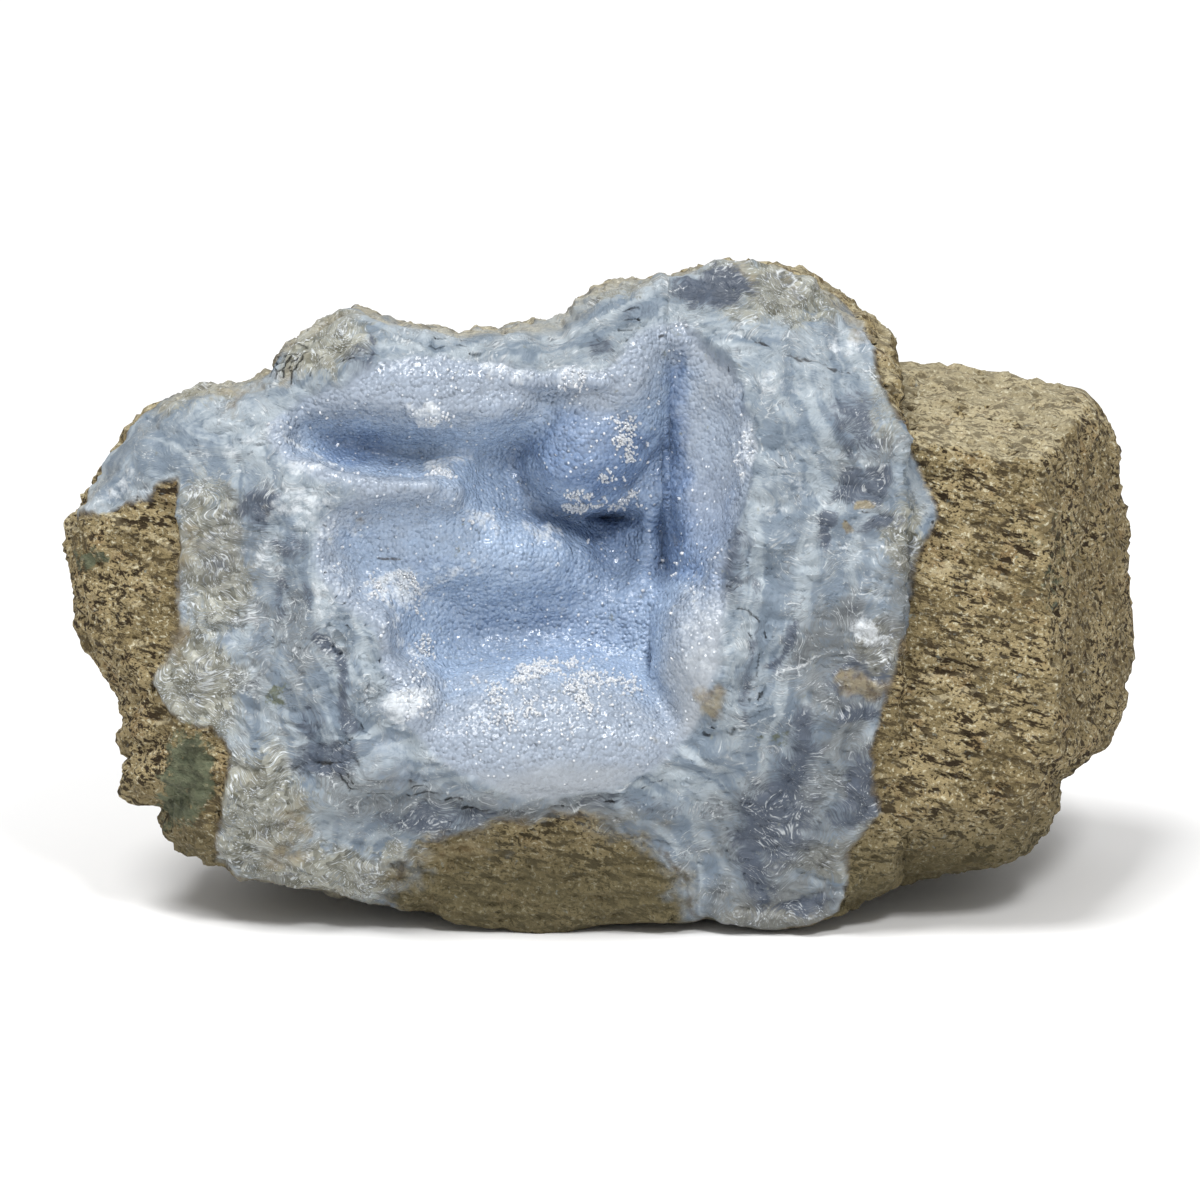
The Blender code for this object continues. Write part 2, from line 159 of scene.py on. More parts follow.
@dataclass(frozen=True)
class Grain:
    """Repeatable noise over space, from scrambled lattice numbers."""

    seed: int

    def scrambled(self, lattice: Array, salt: int = 0) -> Array:
        """A number from 0 to 1 for each whole-number spot.

        Args:
            lattice: whole numbers, three a row.
            salt: another number for another draw at the same spot.

        Returns:
            One number a row.
        """
        spot = lattice.astype(np.int64)
        mixed = spot[..., 0] * 73856093 ^ spot[..., 1] * 19349663 ^ spot[..., 2] * 83492791
        mixed = (mixed ^ (self.seed * 2654435 + salt * 97931)).astype(np.uint32)
        mixed ^= mixed >> np.uint32(16)
        mixed = mixed * np.uint32(0x7FEB352D)
        mixed ^= mixed >> np.uint32(15)
        mixed = mixed * np.uint32(0x846CA68B)
        mixed ^= mixed >> np.uint32(16)
        return mixed.astype(np.float64) / 2**32

    def soft(self, points: Array, size: float) -> Array:
        """Soft lumps from -1 to 1 of about the given size."""
        spot = points / size
        low = np.floor(spot)
        part = spot - low
        part = part * part * part * (part * (part * 6 - 15) + 10)
        total = np.zeros(len(points))
        for corner in np.ndindex(2, 2, 2):
            weight = np.ones(len(points))
            for axis, step in enumerate(corner):
                weight = weight * (part[:, axis] if step else 1 - part[:, axis])
            total += weight * self.scrambled(low + corner)
        return total * 2 - 1

    def rugged(self, points: Array, size: float, layers: int, gain: float = 0.5) -> Array:
        """Lumps on lumps, each layer about half the size of the one before.

        Args:
            points: where, three numbers a row.
            size: of the largest lumps.
            layers: how many sizes of lump there are.
            gain: height of each layer for that of the one before.

        Returns:
            Heights from about -1 to 1.
        """
        turn = np.array([(0.36, 0.48, -0.80), (-0.80, 0.60, 0.0), (0.48, 0.64, 0.60)])
        total, height, reach = np.zeros(len(points)), 1.0, 0.0
        for layer in range(layers):
            total += height * Grain(self.seed + 31 * layer).soft(points, size)
            reach += height
            points, size, height = points @ turn, size / 2.1, height * gain
        return total / reach

    def cells(self, points: Array, size: float) -> tuple[Array, Array, Array]:
        """Splits space into irregular cells.

        Args:
            points: where, three numbers a row.
            size: width of a cell.

        Returns:
            Distance to the nearest middle, how much further the next one is, and a number from
            0 to 1 for each cell, the first two in widths of a cell.
        """
        spot = points / size
        low = np.floor(spot - 0.5)
        first = np.full(len(points), 9.0)
        second = first.copy()
        name = np.zeros(len(points))
        for corner in np.ndindex(2, 2, 2):
            home = low + corner
            middle = home + 0.5
            for axis in range(3):
                middle[:, axis] += 0.56 * (self.scrambled(home, axis + 1) - 0.5)
            gap = np.linalg.norm(spot - middle, axis=1)
            nearer = gap < first
            second = np.where(nearer, first, np.minimum(second, gap))
            name = np.where(nearer, self.scrambled(home, 7), name)
            first = np.where(nearer, gap, first)
        return first, second - first, name

    def crystals(self, points: Array, size: float) -> Array:
        """Heights, from about 0 to 1, of blunt crystals with flat sides that grow into each other."""
        spot = points / size
        low = np.floor(spot - 0.5)
        best = np.full(len(points), -9.0)
        for corner in np.ndindex(2, 2, 2):
            home = low + corner
            away = spot - home - 0.5
            for axis in range(3):
                away[:, axis] -= 0.6 * (self.scrambled(home, axis + 1) - 0.5)
            spin = self.scrambled(home, 4) * math.tau
            tip = (self.scrambled(home, 5) - 0.5) * 2.2
            x = away[:, 0] * np.cos(spin) - away[:, 1] * np.sin(spin)
            y = away[:, 0] * np.sin(spin) + away[:, 1] * np.cos(spin)
            y, z = y * np.cos(tip) - away[:, 2] * np.sin(tip), y * np.sin(tip) + away[:, 2] * np.cos(tip)
            across = np.maximum(np.abs(x), np.abs(0.5 * x + 0.87 * y))
            across = np.maximum(across, np.abs(0.5 * x - 0.87 * y))
            height = 0.75 + 0.35 * self.scrambled(home, 6) - np.maximum(across, 0.8 * np.abs(z))
            best = np.maximum(best, height)
        return best


@dataclass(frozen=True)
class Break:
    """A flat break of the rock: a point, the way that it faces, and where it starts in s."""

    place: tuple[float, float, float]
    facing: tuple[float, float, float]
    start: float = -200.0

    def beyond(self, points: Array) -> Array:
        """How far points lie past the break, far below 0 where it doesn't reach."""
        normal = np.array(self.facing) / np.linalg.norm(self.facing)
        past = (points - np.array(self.place)) @ normal
        return past - 40 * (1 - np.clip((points[:, 0] - self.start) / 4, 0, 1))


@dataclass(frozen=True)
class Pocket:
    """A rounded space or lump: its middle, three half widths, a turn in the plane of the face and a
    lean that sinks its right end, in degrees."""

    middle: tuple[float, float, float]
    widths: tuple[float, float, float]
    turn: float = 0.0
    lean: float = 0.0

    def outside(self, points: Array, grow: float = 0.0) -> Array:
        """About how far points lie outside it, once it is grown by some millimetres."""
        away = points - np.array(self.middle)
        cosine, sine = math.cos(math.radians(self.turn)), math.sin(math.radians(self.turn))
        s = away[:, 0] * cosine + away[:, 1] * sine
        t = away[:, 1] * cosine - away[:, 0] * sine
        cosine, sine = math.cos(math.radians(self.lean)), math.sin(math.radians(self.lean))
        s, d = s * cosine - away[:, 2] * sine, s * sine + away[:, 2] * cosine
        away = np.stack([s, t, d], axis=1)
        widths = np.array(self.widths) + grow
        near = np.linalg.norm(away / widths, axis=1)
        steep = np.linalg.norm(away / widths**2, axis=1)
        return np.where(near < 0.05, -widths.min(), near * (near - 1) / np.maximum(steep, 1e-6))


@dataclass(frozen=True)
class Stroke:
    """A line drawn on the broken face, with a width and a strength."""

    points: tuple[tuple[float, float], ...]
    width: float
    strength: float = 1.0

    def away(self, s: Array, t: Array) -> Array:
        """Distance of points from the line."""
        nearest = np.full(len(s), 1e9)
        for (s0, t0), (s1, t1) in zip(self.points, self.points[1:]):
            run_s, run_t = s1 - s0, t1 - t0
            along = ((s - s0) * run_s + (t - t0) * run_t) / (run_s**2 + run_t**2)
            along = np.clip(along, 0, 1)
            gap = np.hypot(s - s0 - along * run_s, t - t0 - along * run_t)
            nearest = np.minimum(nearest, gap)
        return nearest

    def mark(self, s: Array, t: Array) -> Array:
        """Strength of the line, soft across its width."""
        return self.strength * np.exp(-((self.away(s, t) / self.width) ** 2))


@dataclass(frozen=True)
class Spot:
    """A soft-edged patch of the broken face: its middle, two reaches, a turn and a strength."""

    s: float
    t: float
    wide: float
    high: float
    turn: float = 0.0
    strength: float = 1.0

    def mark(self, s: Array, t: Array) -> Array:
        """Strength of the patch, falling off round its edge."""
        cosine, sine = math.cos(math.radians(self.turn)), math.sin(math.radians(self.turn))
        along = (s - self.s) * cosine + (t - self.t) * sine
        across = (t - self.t) * cosine - (s - self.s) * sine
        return self.strength * (1 - fade(np.hypot(along / self.wide, across / self.high), 0.5, 1.3))


# Patches and lines of the broken face, in millimetres
MARKS: dict[Mark, tuple[Spot | Stroke, ...]] = {
    Mark.WHITE: (
        Spot(-23.6, 26.4, 2.8, 1.7, 0, 0.9), Spot(-22.1, 18.1, 3.6, 1.3, 25, 0.9),
        Spot(-2.8, 31.7, 3.3, 1.3, 5, 0.6), Spot(-13.2, 31.7, 3.6, 1.3, -10, 0.7),
        Spot(-41.7, 13.2, 6.1, 2.2, 12, 0.7), Spot(-45.9, 5.6, 2.2, 3.6, 0, 0.5),
        Spot(-37.5, 9.7, 5.6, 1.7, -5, 0.45), Spot(-16.7, 10.8, 3.3, 1.5, -25, 0.8),
        Spot(-7.6, 8.6, 3.6, 1.1, -25, 0.7), Spot(-27.8, 1.1, 5.8, 2.8, 12, 0.9),
        Spot(-20.2, 4.2, 4.4, 1.4, 10, 0.6), Spot(-26.4, -14.6, 5, 2.8, 15, 1),
        Spot(-37.5, 0, 3.1, 6.1, -12, 0.5), Spot(-41.7, 18.1, 4.7, 1.4, -12, 0.6),
        Spot(13.9, 0, 4.2, 3.3, 30, 0.3),
        Spot(20.6, 20.9, 1.9, 4.7, 0, 0.7),
        Spot(37.3, -4.2, 3.3, 2.2, -20, 0.8), Spot(34.8, 34.8, 2.8, 2.2, 0, 0.7),
        Spot(23.6, -44.5, 6.1, 2.1, 0, 0.25),
        Spot(22.9, 29.2, 4.7, 1.9, 10, 0.5), Spot(-48.7, 22.2, 8.3, 1.7, 18, 0.5),
        Spot(-66.7, 15, 4.2, 1.4, 35, 0.6), Spot(13.9, -5.6, 3.6, 5, 0, 0.4),
        Spot(25.7, 13.9, 3.3, 6.1, 0, 0.35),
    ),
    # Deep blue chalcedony on the broken face, and painted shade: in the hollow's pockets, low on its right wall and
    # along the crease beside it, and under the mound's lip and other overhangs.
    Mark.DEEP: (
        Spot(-1.5, 21.5, 9, 7.5, 0, 1), Spot(15.5, 9, 5.5, 11, 0, 1), Spot(-34, 20.5, 8, 4, -15, 0.6),
        Stroke(((10.5, 35), (10.8, 28), (10.9, 20), (10.5, 12), (11, 4)), 1.8, 1.0),
        Spot(24, -31, 7, 6, 0, 0.6),
        Spot(-34.8, 20, 6.1, 2.5, 0, 0.8), Spot(31.8, 10.1, 1.5, 2.8, 0, 1),
        Spot(38.9, 10.3, 3.3, 1.4, 8, 0.75), Spot(37, 16.1, 4.2, 2.5, 5, 0.8),
        Spot(35, 24.3, 3.1, 4.7, 5, 0.7), Spot(-46.7, 12.1, 2.1, 3.1, 0, 0.8),
        Spot(-42.4, 7.5, 2.5, 1.9, 0, 0.6), Spot(-45.5, 0.6, 1.1, 2.8, 0, 0.6),
        Spot(-40.6, 0.3, 1, 2.8, 0, 0.5), Spot(-40.3, -17.2, 2.2, 1.8, 0, 0.7),
        Spot(-38.2, -21.7, 4.7, 2.6, 0, 0.9), Spot(-22.2, -29.9, 10.8, 1.7, 3, 0.6),
        Spot(5.6, -27.8, 7, 1.4, 0, 0.4), Spot(36.1, -11.4, 4.7, 3.1, 0, 0.8),
        Spot(36.3, -16.1, 3.6, 1.4, 0, 0.8), Spot(37, -25, 2.8, 5.3, 0, 0.8),
        Spot(34.8, -29.5, 5, 2.5, 0, 0.8), Spot(8.3, 43.1, 8.3, 1.4, 0, 0.1),
        Spot(16, 42.1, 5.8, 2.2, 5, 1.3), Spot(8.6, 32, 1.4, 1.9, 0, 0.7),
        Spot(0, 35.3, 1.9, 1.7, 0, 0.6), Spot(5.6, 40, 3.6, 1.3, 0, 0.45),
        Spot(-33.4, 33.4, 1.7, 3.3, 0, 0.5), Spot(27.8, -42.4, 4.7, 1.1, 0, 0.7),
        Spot(-62.6, -20.2, 1.7, 4.2, 0, 0.8), Spot(-25, 5.6, 3.6, 1, 8, 0.5),
        Spot(22.2, 0, 1.1, 7, 8, 0.35),
        Stroke(((-39.8, -5.8), (-36, -9.2), (-35.2, -13.9), (-34.6, -18.1)), 0.9, 0.9),
        Stroke(((27.8, -3.8), (25.9, -6.7), (24.3, -9.5)), 1.1, 0.9),
        Stroke(((27.9, -17), (27.8, -20.9), (27.2, -24.2), (24.3, -27.5), (21, -30.4), (20, -33.5), (21, -36.4), (22.8, -40.6)), 1.9, 1),
        Stroke(((22.2, -3.9), (20.6, -11.1), (20, -16.1)), 0.6, 0.55),
        Stroke(((-32.5, 36.7), (-31.4, 33.1), (-31.7, 30)), 0.7, 0.8),
    ),
    Mark.WARM: (
        Spot(-58.4, -5.6, 1.7, 3.9, 0, 0.9), Spot(-57.3, 5.3, 1.9, 1.7, 0, 0.7),
        Spot(-55.6, 8.9, 3.1, 1.7, 0, 0.6), Spot(-43.1, -32, 5, 7, -20, 0.6),
        Spot(15.4, -13.9, 2.8, 3.1, 0, 0.9), Spot(36.8, 13.9, 1.1, 0.7, 0, 1),
        Spot(34.8, 10.1, 0.7, 1.4, 0, 1), Spot(-40, 31.7, 4.7, 3.1, 25, 0.3),
        Spot(23.4, 44.5, 5, 1.3, 0, 0.5), Spot(35.9, -11.7, 4.2, 2.8, 0, 0.9),
        Spot(-20.9, -34.8, 8.3, 1.9, 0, 0.6), Spot(37.5, 37.5, 3.3, 3.3, -40, 0.6),
        Spot(-50, 27.8, 5.6, 1.4, 22, 0.5), Spot(13.9, 46.6, 8.3, 1.4, 0, 0.6),
    ),
    Mark.GREEN: (
        Spot(-57.4, -24.7, 3.8, 7.8, -8, 1), Spot(-70.6, 5.6, 2.5, 1.7, 0, 0.7),
        Spot(-45, -13.3, 1.4, 3.1, -25, 0.7), Spot(23.6, -19.5, 3.3, 1.1, 0, 0.4),
        Spot(62.6, 5.6, 4.2, 8.3, 0, 0.3),
    ),
    Mark.INK: (
        Stroke(((-58.7, 17.8), (-59.1, 13.9), (-59.2, 7.5)), 0.25, 1),
        Stroke(((-42.4, -22.8), (-34.3, -22.1), (-31.6, -24.3), (-26.3, -25)), 0.3, 1),
        Stroke(((-22.8, -26.1), (-17.8, -28.6), (-13.9, -29.1), (-5.6, -28.4), (1.7, -27.2), (6.4, -23.6)), 0.3, 0.8),
        Stroke(((-28.2, 36.8), (-26.4, 35.7), (-24.7, 34.8), (-20.9, 33.6), (-16.7, 33.6)), 0.25, 1),
        Stroke(((-1.1, 37.5), (0.1, 35.3), (1.7, 34.3), (2.5, 35.7), (6.5, 38.2)), 0.3, 0.9),
        Stroke(((8.3, 36.4), (10, 37.3), (11.1, 35.6)), 0.35, 1),
        Stroke(((17.1, 38.1), (19.2, 36.6), (23.1, 35.4), (27.7, 33.2), (32.1, 32.4), (36, 30.6)), 0.25, 1),
        Stroke(((28.5, 40), (32.1, 39.9), (35.2, 38.6)), 0.2, 0.8),
        Stroke(((16.7, -0.1), (19.6, 2.1)), 0.2, 1), Stroke(((22.4, 5.1), (24, 4.4)), 0.2, 1),
        Stroke(((23.4, 3.6), (24.3, 2.5)), 0.2, 1), Stroke(((28.4, 2.9), (30.9, 2.1)), 0.2, 1),
        Stroke(((-34.5, 6.5), (-30.6, 6), (-26.5, 5.6)), 0.35, 1),
        Stroke(((22.8, -42.3), (27.8, -42), (34.2, -39.5)), 0.4, 1),
        Stroke(((-69.5, 12.2), (-63.9, 15.3), (-58.9, 17.7)), 0.3, 0.8),
        Stroke(((39.9, -14.9), (44.1, -14.5), (48.1, -13.1), (50.9, -12.4), (54.3, -10.6)), 0.25, 1),
        Stroke(((40.2, -28.2), (43.2, -27.1), (47.5, -26.5)), 0.25, 1),
        Stroke(((35.2, 12.8), (40.4, 11.3), (41.1, 10.3)), 0.2, 1),
    ),
    Mark.SHINE: (
        Stroke(((24.3, -10.6), (32.2, -7.5), (34.5, -7.5), (36.3, -8.8), (40.2, -7.8)), 0.25, 0.8),
        Stroke(((18.3, -17.4), (24.3, -15.4), (26.8, -15.2)), 0.25, 0.8),
        Stroke(((-43.9, 22.4), (-40.2, 20), (-37.8, 18.6), (-36.4, 17.5)), 0.5, 0.8),
        Stroke(((-54.2, 16.7), (-50, 18.1), (-47, 17.4)), 0.3, 0.7),
        Stroke(((28.9, 7.2), (32, 8.1), (35, 6.7)), 0.25, 0.8),
        Stroke(((-28.5, -2.5), (-29.5, -3.6), (-28.1, -5.8), (-24.7, -8.8), (-23.6, -12.5)), 0.9, 0.7),
    ),
    Mark.QUARTZ: (
        Spot(-53.5, 5.6, 5.8, 12.5, 0, 1), Spot(-56.3, -12.5, 7.2, 11.1, 0, 1),
        Spot(-49.3, -29.2, 11.1, 9.7, 20, 1), Spot(-38.9, -37.8, 13.9, 4.2, -8, 1),
        Spot(-25, -34.8, 8.3, 2.2, 0, 0.8), Spot(-38.2, 34.8, 7.2, 4.7, 15, 1),
        Spot(-54.2, 28.5, 8.3, 1.9, 22, 0.9), Spot(25, 42.3, 13.9, 4.7, 0, 0.9),
        Spot(40.3, 27.8, 3.6, 8.3, -15, 0.6), Spot(42.8, 7.6, 3.6, 7, 0, 0.9),
        Spot(38.9, -7, 3.6, 5, 0, 1), Spot(37.3, -27.8, 3.3, 8.3, 0, 0.8),
        Spot(32, -35.9, 7, 3.3, 10, 0.8), Spot(-7, -30.9, 15.3, 1.9, 0, 0.6),
        Spot(23.6, -44.2, 8.3, 3.1, 0, 1), Spot(5.6, 43.6, 8.3, 1.9, 15, 0.6),
    ),
    Mark.SPARK: (
        Spot(-6.1, -13.9, 12.8, 6.7, 0, 1), Spot(1.4, 20.9, 5.8, 4.7, 0, 0.9),
        Spot(-27.8, 1.1, 6.1, 3.1, 10, 1), Spot(-16.7, 10.8, 4.7, 1.9, -25, 1),
        Spot(-26.4, -14.6, 4.2, 2.5, 0, 0.9), Spot(-22.1, 18.1, 3.3, 1.3, 25, 1),
        Spot(-23.6, 26.4, 2.8, 1.7, 0, 1), Spot(-25, -7.6, 1.9, 5.6, -20, 1),
        Spot(-5.6, 31.7, 8.3, 1.7, 0, 0.8), Spot(0, 13.9, 7, 1.4, 0, 0.8),
        Spot(13.9, 5.6, 4.2, 2.8, 0, 0.5), Spot(-41.7, 8.3, 7, 2.8, 0, 0.7),
        Spot(-53.5, 0, 8.3, 15.3, 0, 0.8), Spot(38.9, 8.3, 5.6, 15.3, 0, 0.6),
    ),
    Mark.SMOOTH: (
        Spot(16, -12.5, 6.7, 11.1, -8, 1), Spot(15.6, 22.2, 4.4, 15.3, 0, 0.8),
        Spot(-4.2, -25.7, 15.3, 3.3, 0, 0.8), Spot(16.7, 41.7, 8.3, 5.6, 0, 0.4),
    ),
    Mark.CRISP: (
        Stroke(((-43.9, 22.4), (-40.2, 20), (-36.4, 17.5), (-30.9, 16.8), (-25.2, 17.5)), 3.0),
        Stroke(((15, 4), (13, -2), (11.5, -5), (9.3, -10), (9.5, -15), (12, -18)), 3.0),
        Stroke(((-34, -21), (-31, -25), (-24, -27), (-15, -29), (-5, -28), (5, -25.5), (11, -22)), 3.0),
        Stroke(((11, 41), (10.5, 30), (10.5, 20)), 2.5),
        Stroke(((14, 4), (18, 5.5), (23, 6.5)), 2.5),
        Stroke(((-21.4, -1.1), (-24.7, -0.6), (-28.5, -2.5), (-29.5, -3.6)), 2.2),
        Stroke(((-29.5, -3.6), (-28.5, -5.8), (-24.7, -8.6), (-24.2, -11), (-21.8, -12.4)), 2.2),
        Stroke(((-21.8, 29), (-15.3, 29), (-12.5, 30.2), (-8.2, 29), (-3, 31), (0, 30.4)), 2.0),
    ),
    Mark.DRAB: (
        Spot(34.5, -9, 9, 11, 0, 1), Spot(35, -22, 7, 7, 0, 0.9), Spot(26, -32, 13, 9, 0, 1),
        Spot(-8, -30.5, 19, 4.5, 0, 0.9), Spot(-30, -27, 13, 5, -15, 0.7), Spot(-44, -8, 7, 11, 0, 0.6),
        Spot(-42, -26, 7, 5, 0, 0.2), Spot(24, -43, 11, 5, 0, 1.2), Spot(37, 20, 6, 9, 0, 0.6),
        Spot(42, 0, 4, 9, 0, 0.9), Spot(-50, 8, 6, 9, 0, 0.7), Spot(20, 42, 12, 3, 0, 0.4),
    ),
}


@dataclass(frozen=True)
class RockBody:
    """The whole rock as values over space, below 0 inside, before the hollow is taken out."""

    seen_from: float = 800.0
    back: float = -78.0
    side_depth: float = -18.0
    block_depth: float = -40.0
    foot_depth: float = -8.0
    swell: float = 4.0
    face_edge: float = 9.0
    block_edge: float = 20.0
    underside: float = math.radians(14)
    silhouette: tuple[tuple[float, float], ...] = (
        (74.4, 0), (73.9, 3.9), (73.4, 10.6), (72.3, 16.1), (71.9, 20.6), (70.3, 25), (68.9, 26.3),
        (66.7, 28.1), (61.2, 29.9), (55.6, 31.3), (50, 32.8), (43.4, 34.2), (41.7, 36.9),
        (40, 37.8), (38.6, 39.9), (35.6, 41.8), (31.1, 44.2), (29.5, 45.6), (24.7, 47.1),
        (18.9, 47.5), (16.7, 47.4), (11.1, 45.7), (5.6, 44.5), (0, 42.8), (-2.8, 40.9),
        (-5.6, 38.8), (-8.3, 38.9), (-11.7, 38.1), (-13.9, 37), (-19.7, 36.8), (-26.1, 38.5),
        (-30.6, 39.1), (-34.2, 40.5), (-37.8, 38.9), (-41.1, 37), (-43.9, 34.2), (-45, 31.7),
        (-50, 30), (-53.7, 29.5), (-58.4, 27.8), (-62.8, 25.9), (-66.4, 22.8), (-69.5, 17.8),
        (-72.3, 13.6), (-74.8, 10), (-74.2, 3.9), (-73.1, -1.7), (-71.9, -5.8), (-69.5, -9.5),
        (-66.7, -13.9), (-66.4, -17.2), (-66.9, -18.9), (-65.9, -21.7), (-66.6, -26.7),
        (-65.3, -27.8), (-61.7, -28.5), (-61.2, -30.6), (-58.9, -34.5), (-55.6, -37.1),
        (-52.3, -39.6), (-47.3, -40.4), (-40, -41.3), (-30.6, -42.5), (-24.5, -43.2),
        (-18.9, -45.6), (-13.9, -46.4), (-8.3, -47.7), (-3.3, -46.4), (0, -45.5), (5.6, -45.2),
        (15, -44.6), (20, -45.6), (25.3, -46.8), (30.6, -45.6), (34.2, -44.5), (36.1, -42.3),
        (41.1, -40.3), (44.5, -38.9), (55.6, -37.8), (58.4, -36.4), (61.4, -32.8), (63.7, -28.4),
        (63.9, -25), (66.7, -22.8), (70.1, -20), (72.3, -16.7), (73.4, -12.2), (74.9, -7.8),
        (75.1, -5.6),
    )
    back_rings: tuple[tuple[float, float], ...] = (
        (0.0, 1.0), (0.10, 0.995), (0.22, 0.98), (0.33, 0.96), (0.44, 0.93), (0.54, 0.90),
        (0.64, 0.86), (0.74, 0.80), (0.83, 0.72), (0.90, 0.63), (0.95, 0.52), (0.98, 0.38),
        (1.0, 0.2),
    )
    front_breaks: tuple[Break, ...] = (
        Break((52, 0, 0.8), (-0.03, 0.0, 1.0), 38),
        Break((-62, 0, -6.0), (-0.42, 0.0, 1.0)),
        Break((-48, -34, -6.0), (-0.35, -0.5, 1.0)),
        Break((5, -40, -3.0), (0.0, -0.62, 1.0)),
        Break((-5, -31, -3.8), (0.0, -0.42, 1.0)),
        Break((-10, 34, -2.5), (0.0, 0.62, 1.0)),
        Break((25, 42, -4.0), (0.1, 0.75, 1.0)),
    )
    block_breaks: tuple[Break, ...] = (
        Break((56, 21.5, -2.0), (0.13, 1.0, 0.33), 38),
        Break((63.5, 0, -1.5), (1.0, 0.06, 0.35)),
        Break((56, -29, -3.0), (0.12, -1.0, 0.50), 38),
        Break((68, -24, -12.0), (0.9, -0.8, 0.35)),
    )
    back_breaks: tuple[Break, ...] = (
        Break((-44, 0, -58.0), (-0.75, 0.0, -1.0)),
        Break((52, 5, -62.0), (0.60, 0.25, -1.0)),
        Break((0, 33, -60.0), (0.0, 0.9, -1.0)),
        Break((5, 0, -75.0), (0.05, 0.1, -1.0)),
    )
    rest_spot: tuple[tuple[float, float], ...] = (
        (-12.2, -34.8), (23.8, -30.3), (28.8, -4.3), (18.8, 14.7), (-12.2, 15.7), (-27.2, -4.3),
    )

    def around(self, s: Array, t: Array) -> tuple[Array, Array, Array]:
        """The rock's outline in the direction of each point.

        Args:
            s: across the face.
            t: up the face.

        Returns:
            Reach of the outline, depth at which the rock is widest, and share of block side.
        """
        angle = np.arctan2(t, s)
        line = np.array(self.silhouette)
        turns = np.arctan2(line[:, 1], line[:, 0])
        order = np.argsort(turns)
        reach = np.interp(angle, turns[order], np.hypot(*line.T)[order], period=math.tau)
        block = self.side_share(angle, 2, 62)
        foot = self.side_share(angle, -88, 52)
        widest = self.side_depth + (self.block_depth - self.side_depth) * block
        widest += (self.foot_depth - self.side_depth) * foot
        return reach * (1 - widest / self.seen_from), widest, block

    @staticmethod
    def side_share(angle: Array, middle: float, spread: float) -> Array:
        """1 near a direction and 0 further than a spread from it, both in degrees."""
        off = np.abs((np.degrees(angle) - middle + 180) % 360 - 180) / spread
        return np.minimum(1, 1.7 * (1 - fade(off, 0, 1)))

    def face_height(self, s: Array, t: Array) -> Array:
        """How far out the broken face lies, before its fine relief."""
        height = np.full(len(s), self.swell)
        for flat in self.front_breaks:
            normal = np.array(flat.facing)
            lean = (s - flat.place[0]) * normal[0] + (t - flat.place[1]) * normal[1]
            plane = flat.place[2] - lean / normal[2]
            plane = plane + 40 * (1 - np.clip((s - flat.start) / 4, 0, 1))
            height = smooth_min(height, plane, 1.5)
        return height

    def below(self, points: Array) -> Array:
        """How far points lie under the flat resting spot and the underside that rises round it."""
        x, y, height = (FACE.to_model(points) / MM).T
        value = -height
        for (x0, y0), (x1, y1) in zip(self.rest_spot, self.rest_spot[1:] + self.rest_spot[:1]):
            run = math.hypot(x1 - x0, y1 - y0)
            beyond = ((x - x0) * (y1 - y0) - (y - y0) * (x1 - x0)) / run
            slope = beyond * math.sin(self.underside) - height * math.cos(self.underside)
            value = smooth_max(value, slope, 0.5)
        return value

    def outside(self, points: Array) -> Array:
        """About how far points lie outside the rock."""
        s, t, d = points.T
        reach, widest, block = self.around(s, t)
        edge = self.face_edge + (self.block_edge - self.face_edge) * block
        ahead = np.clip((self.swell - d) / (self.swell - widest), 1e-4, 1)
        behind = np.clip((widest - d) / (widest - self.back), 0, 1)
        rings = np.array(self.back_rings)
        share = np.where(d > widest, ahead ** (1 / edge), np.interp(behind, rings[:, 0], rings[:, 1]))
        value = np.hypot(s, t) - reach * share
        value = smooth_max(value, d - self.face_height(s, t), 2.5)
        for flat in self.block_breaks:
            value = smooth_max(value, flat.beyond(points), 1.6)
        for flat in self.back_breaks:
            value = smooth_max(value, flat.beyond(points), 4.0)
        value += 1.1 * Grain(11).rugged(points, 17, 2) + 0.5 * Grain(12).rugged(points, 6, 2)
        return np.maximum(value, self.below(points))


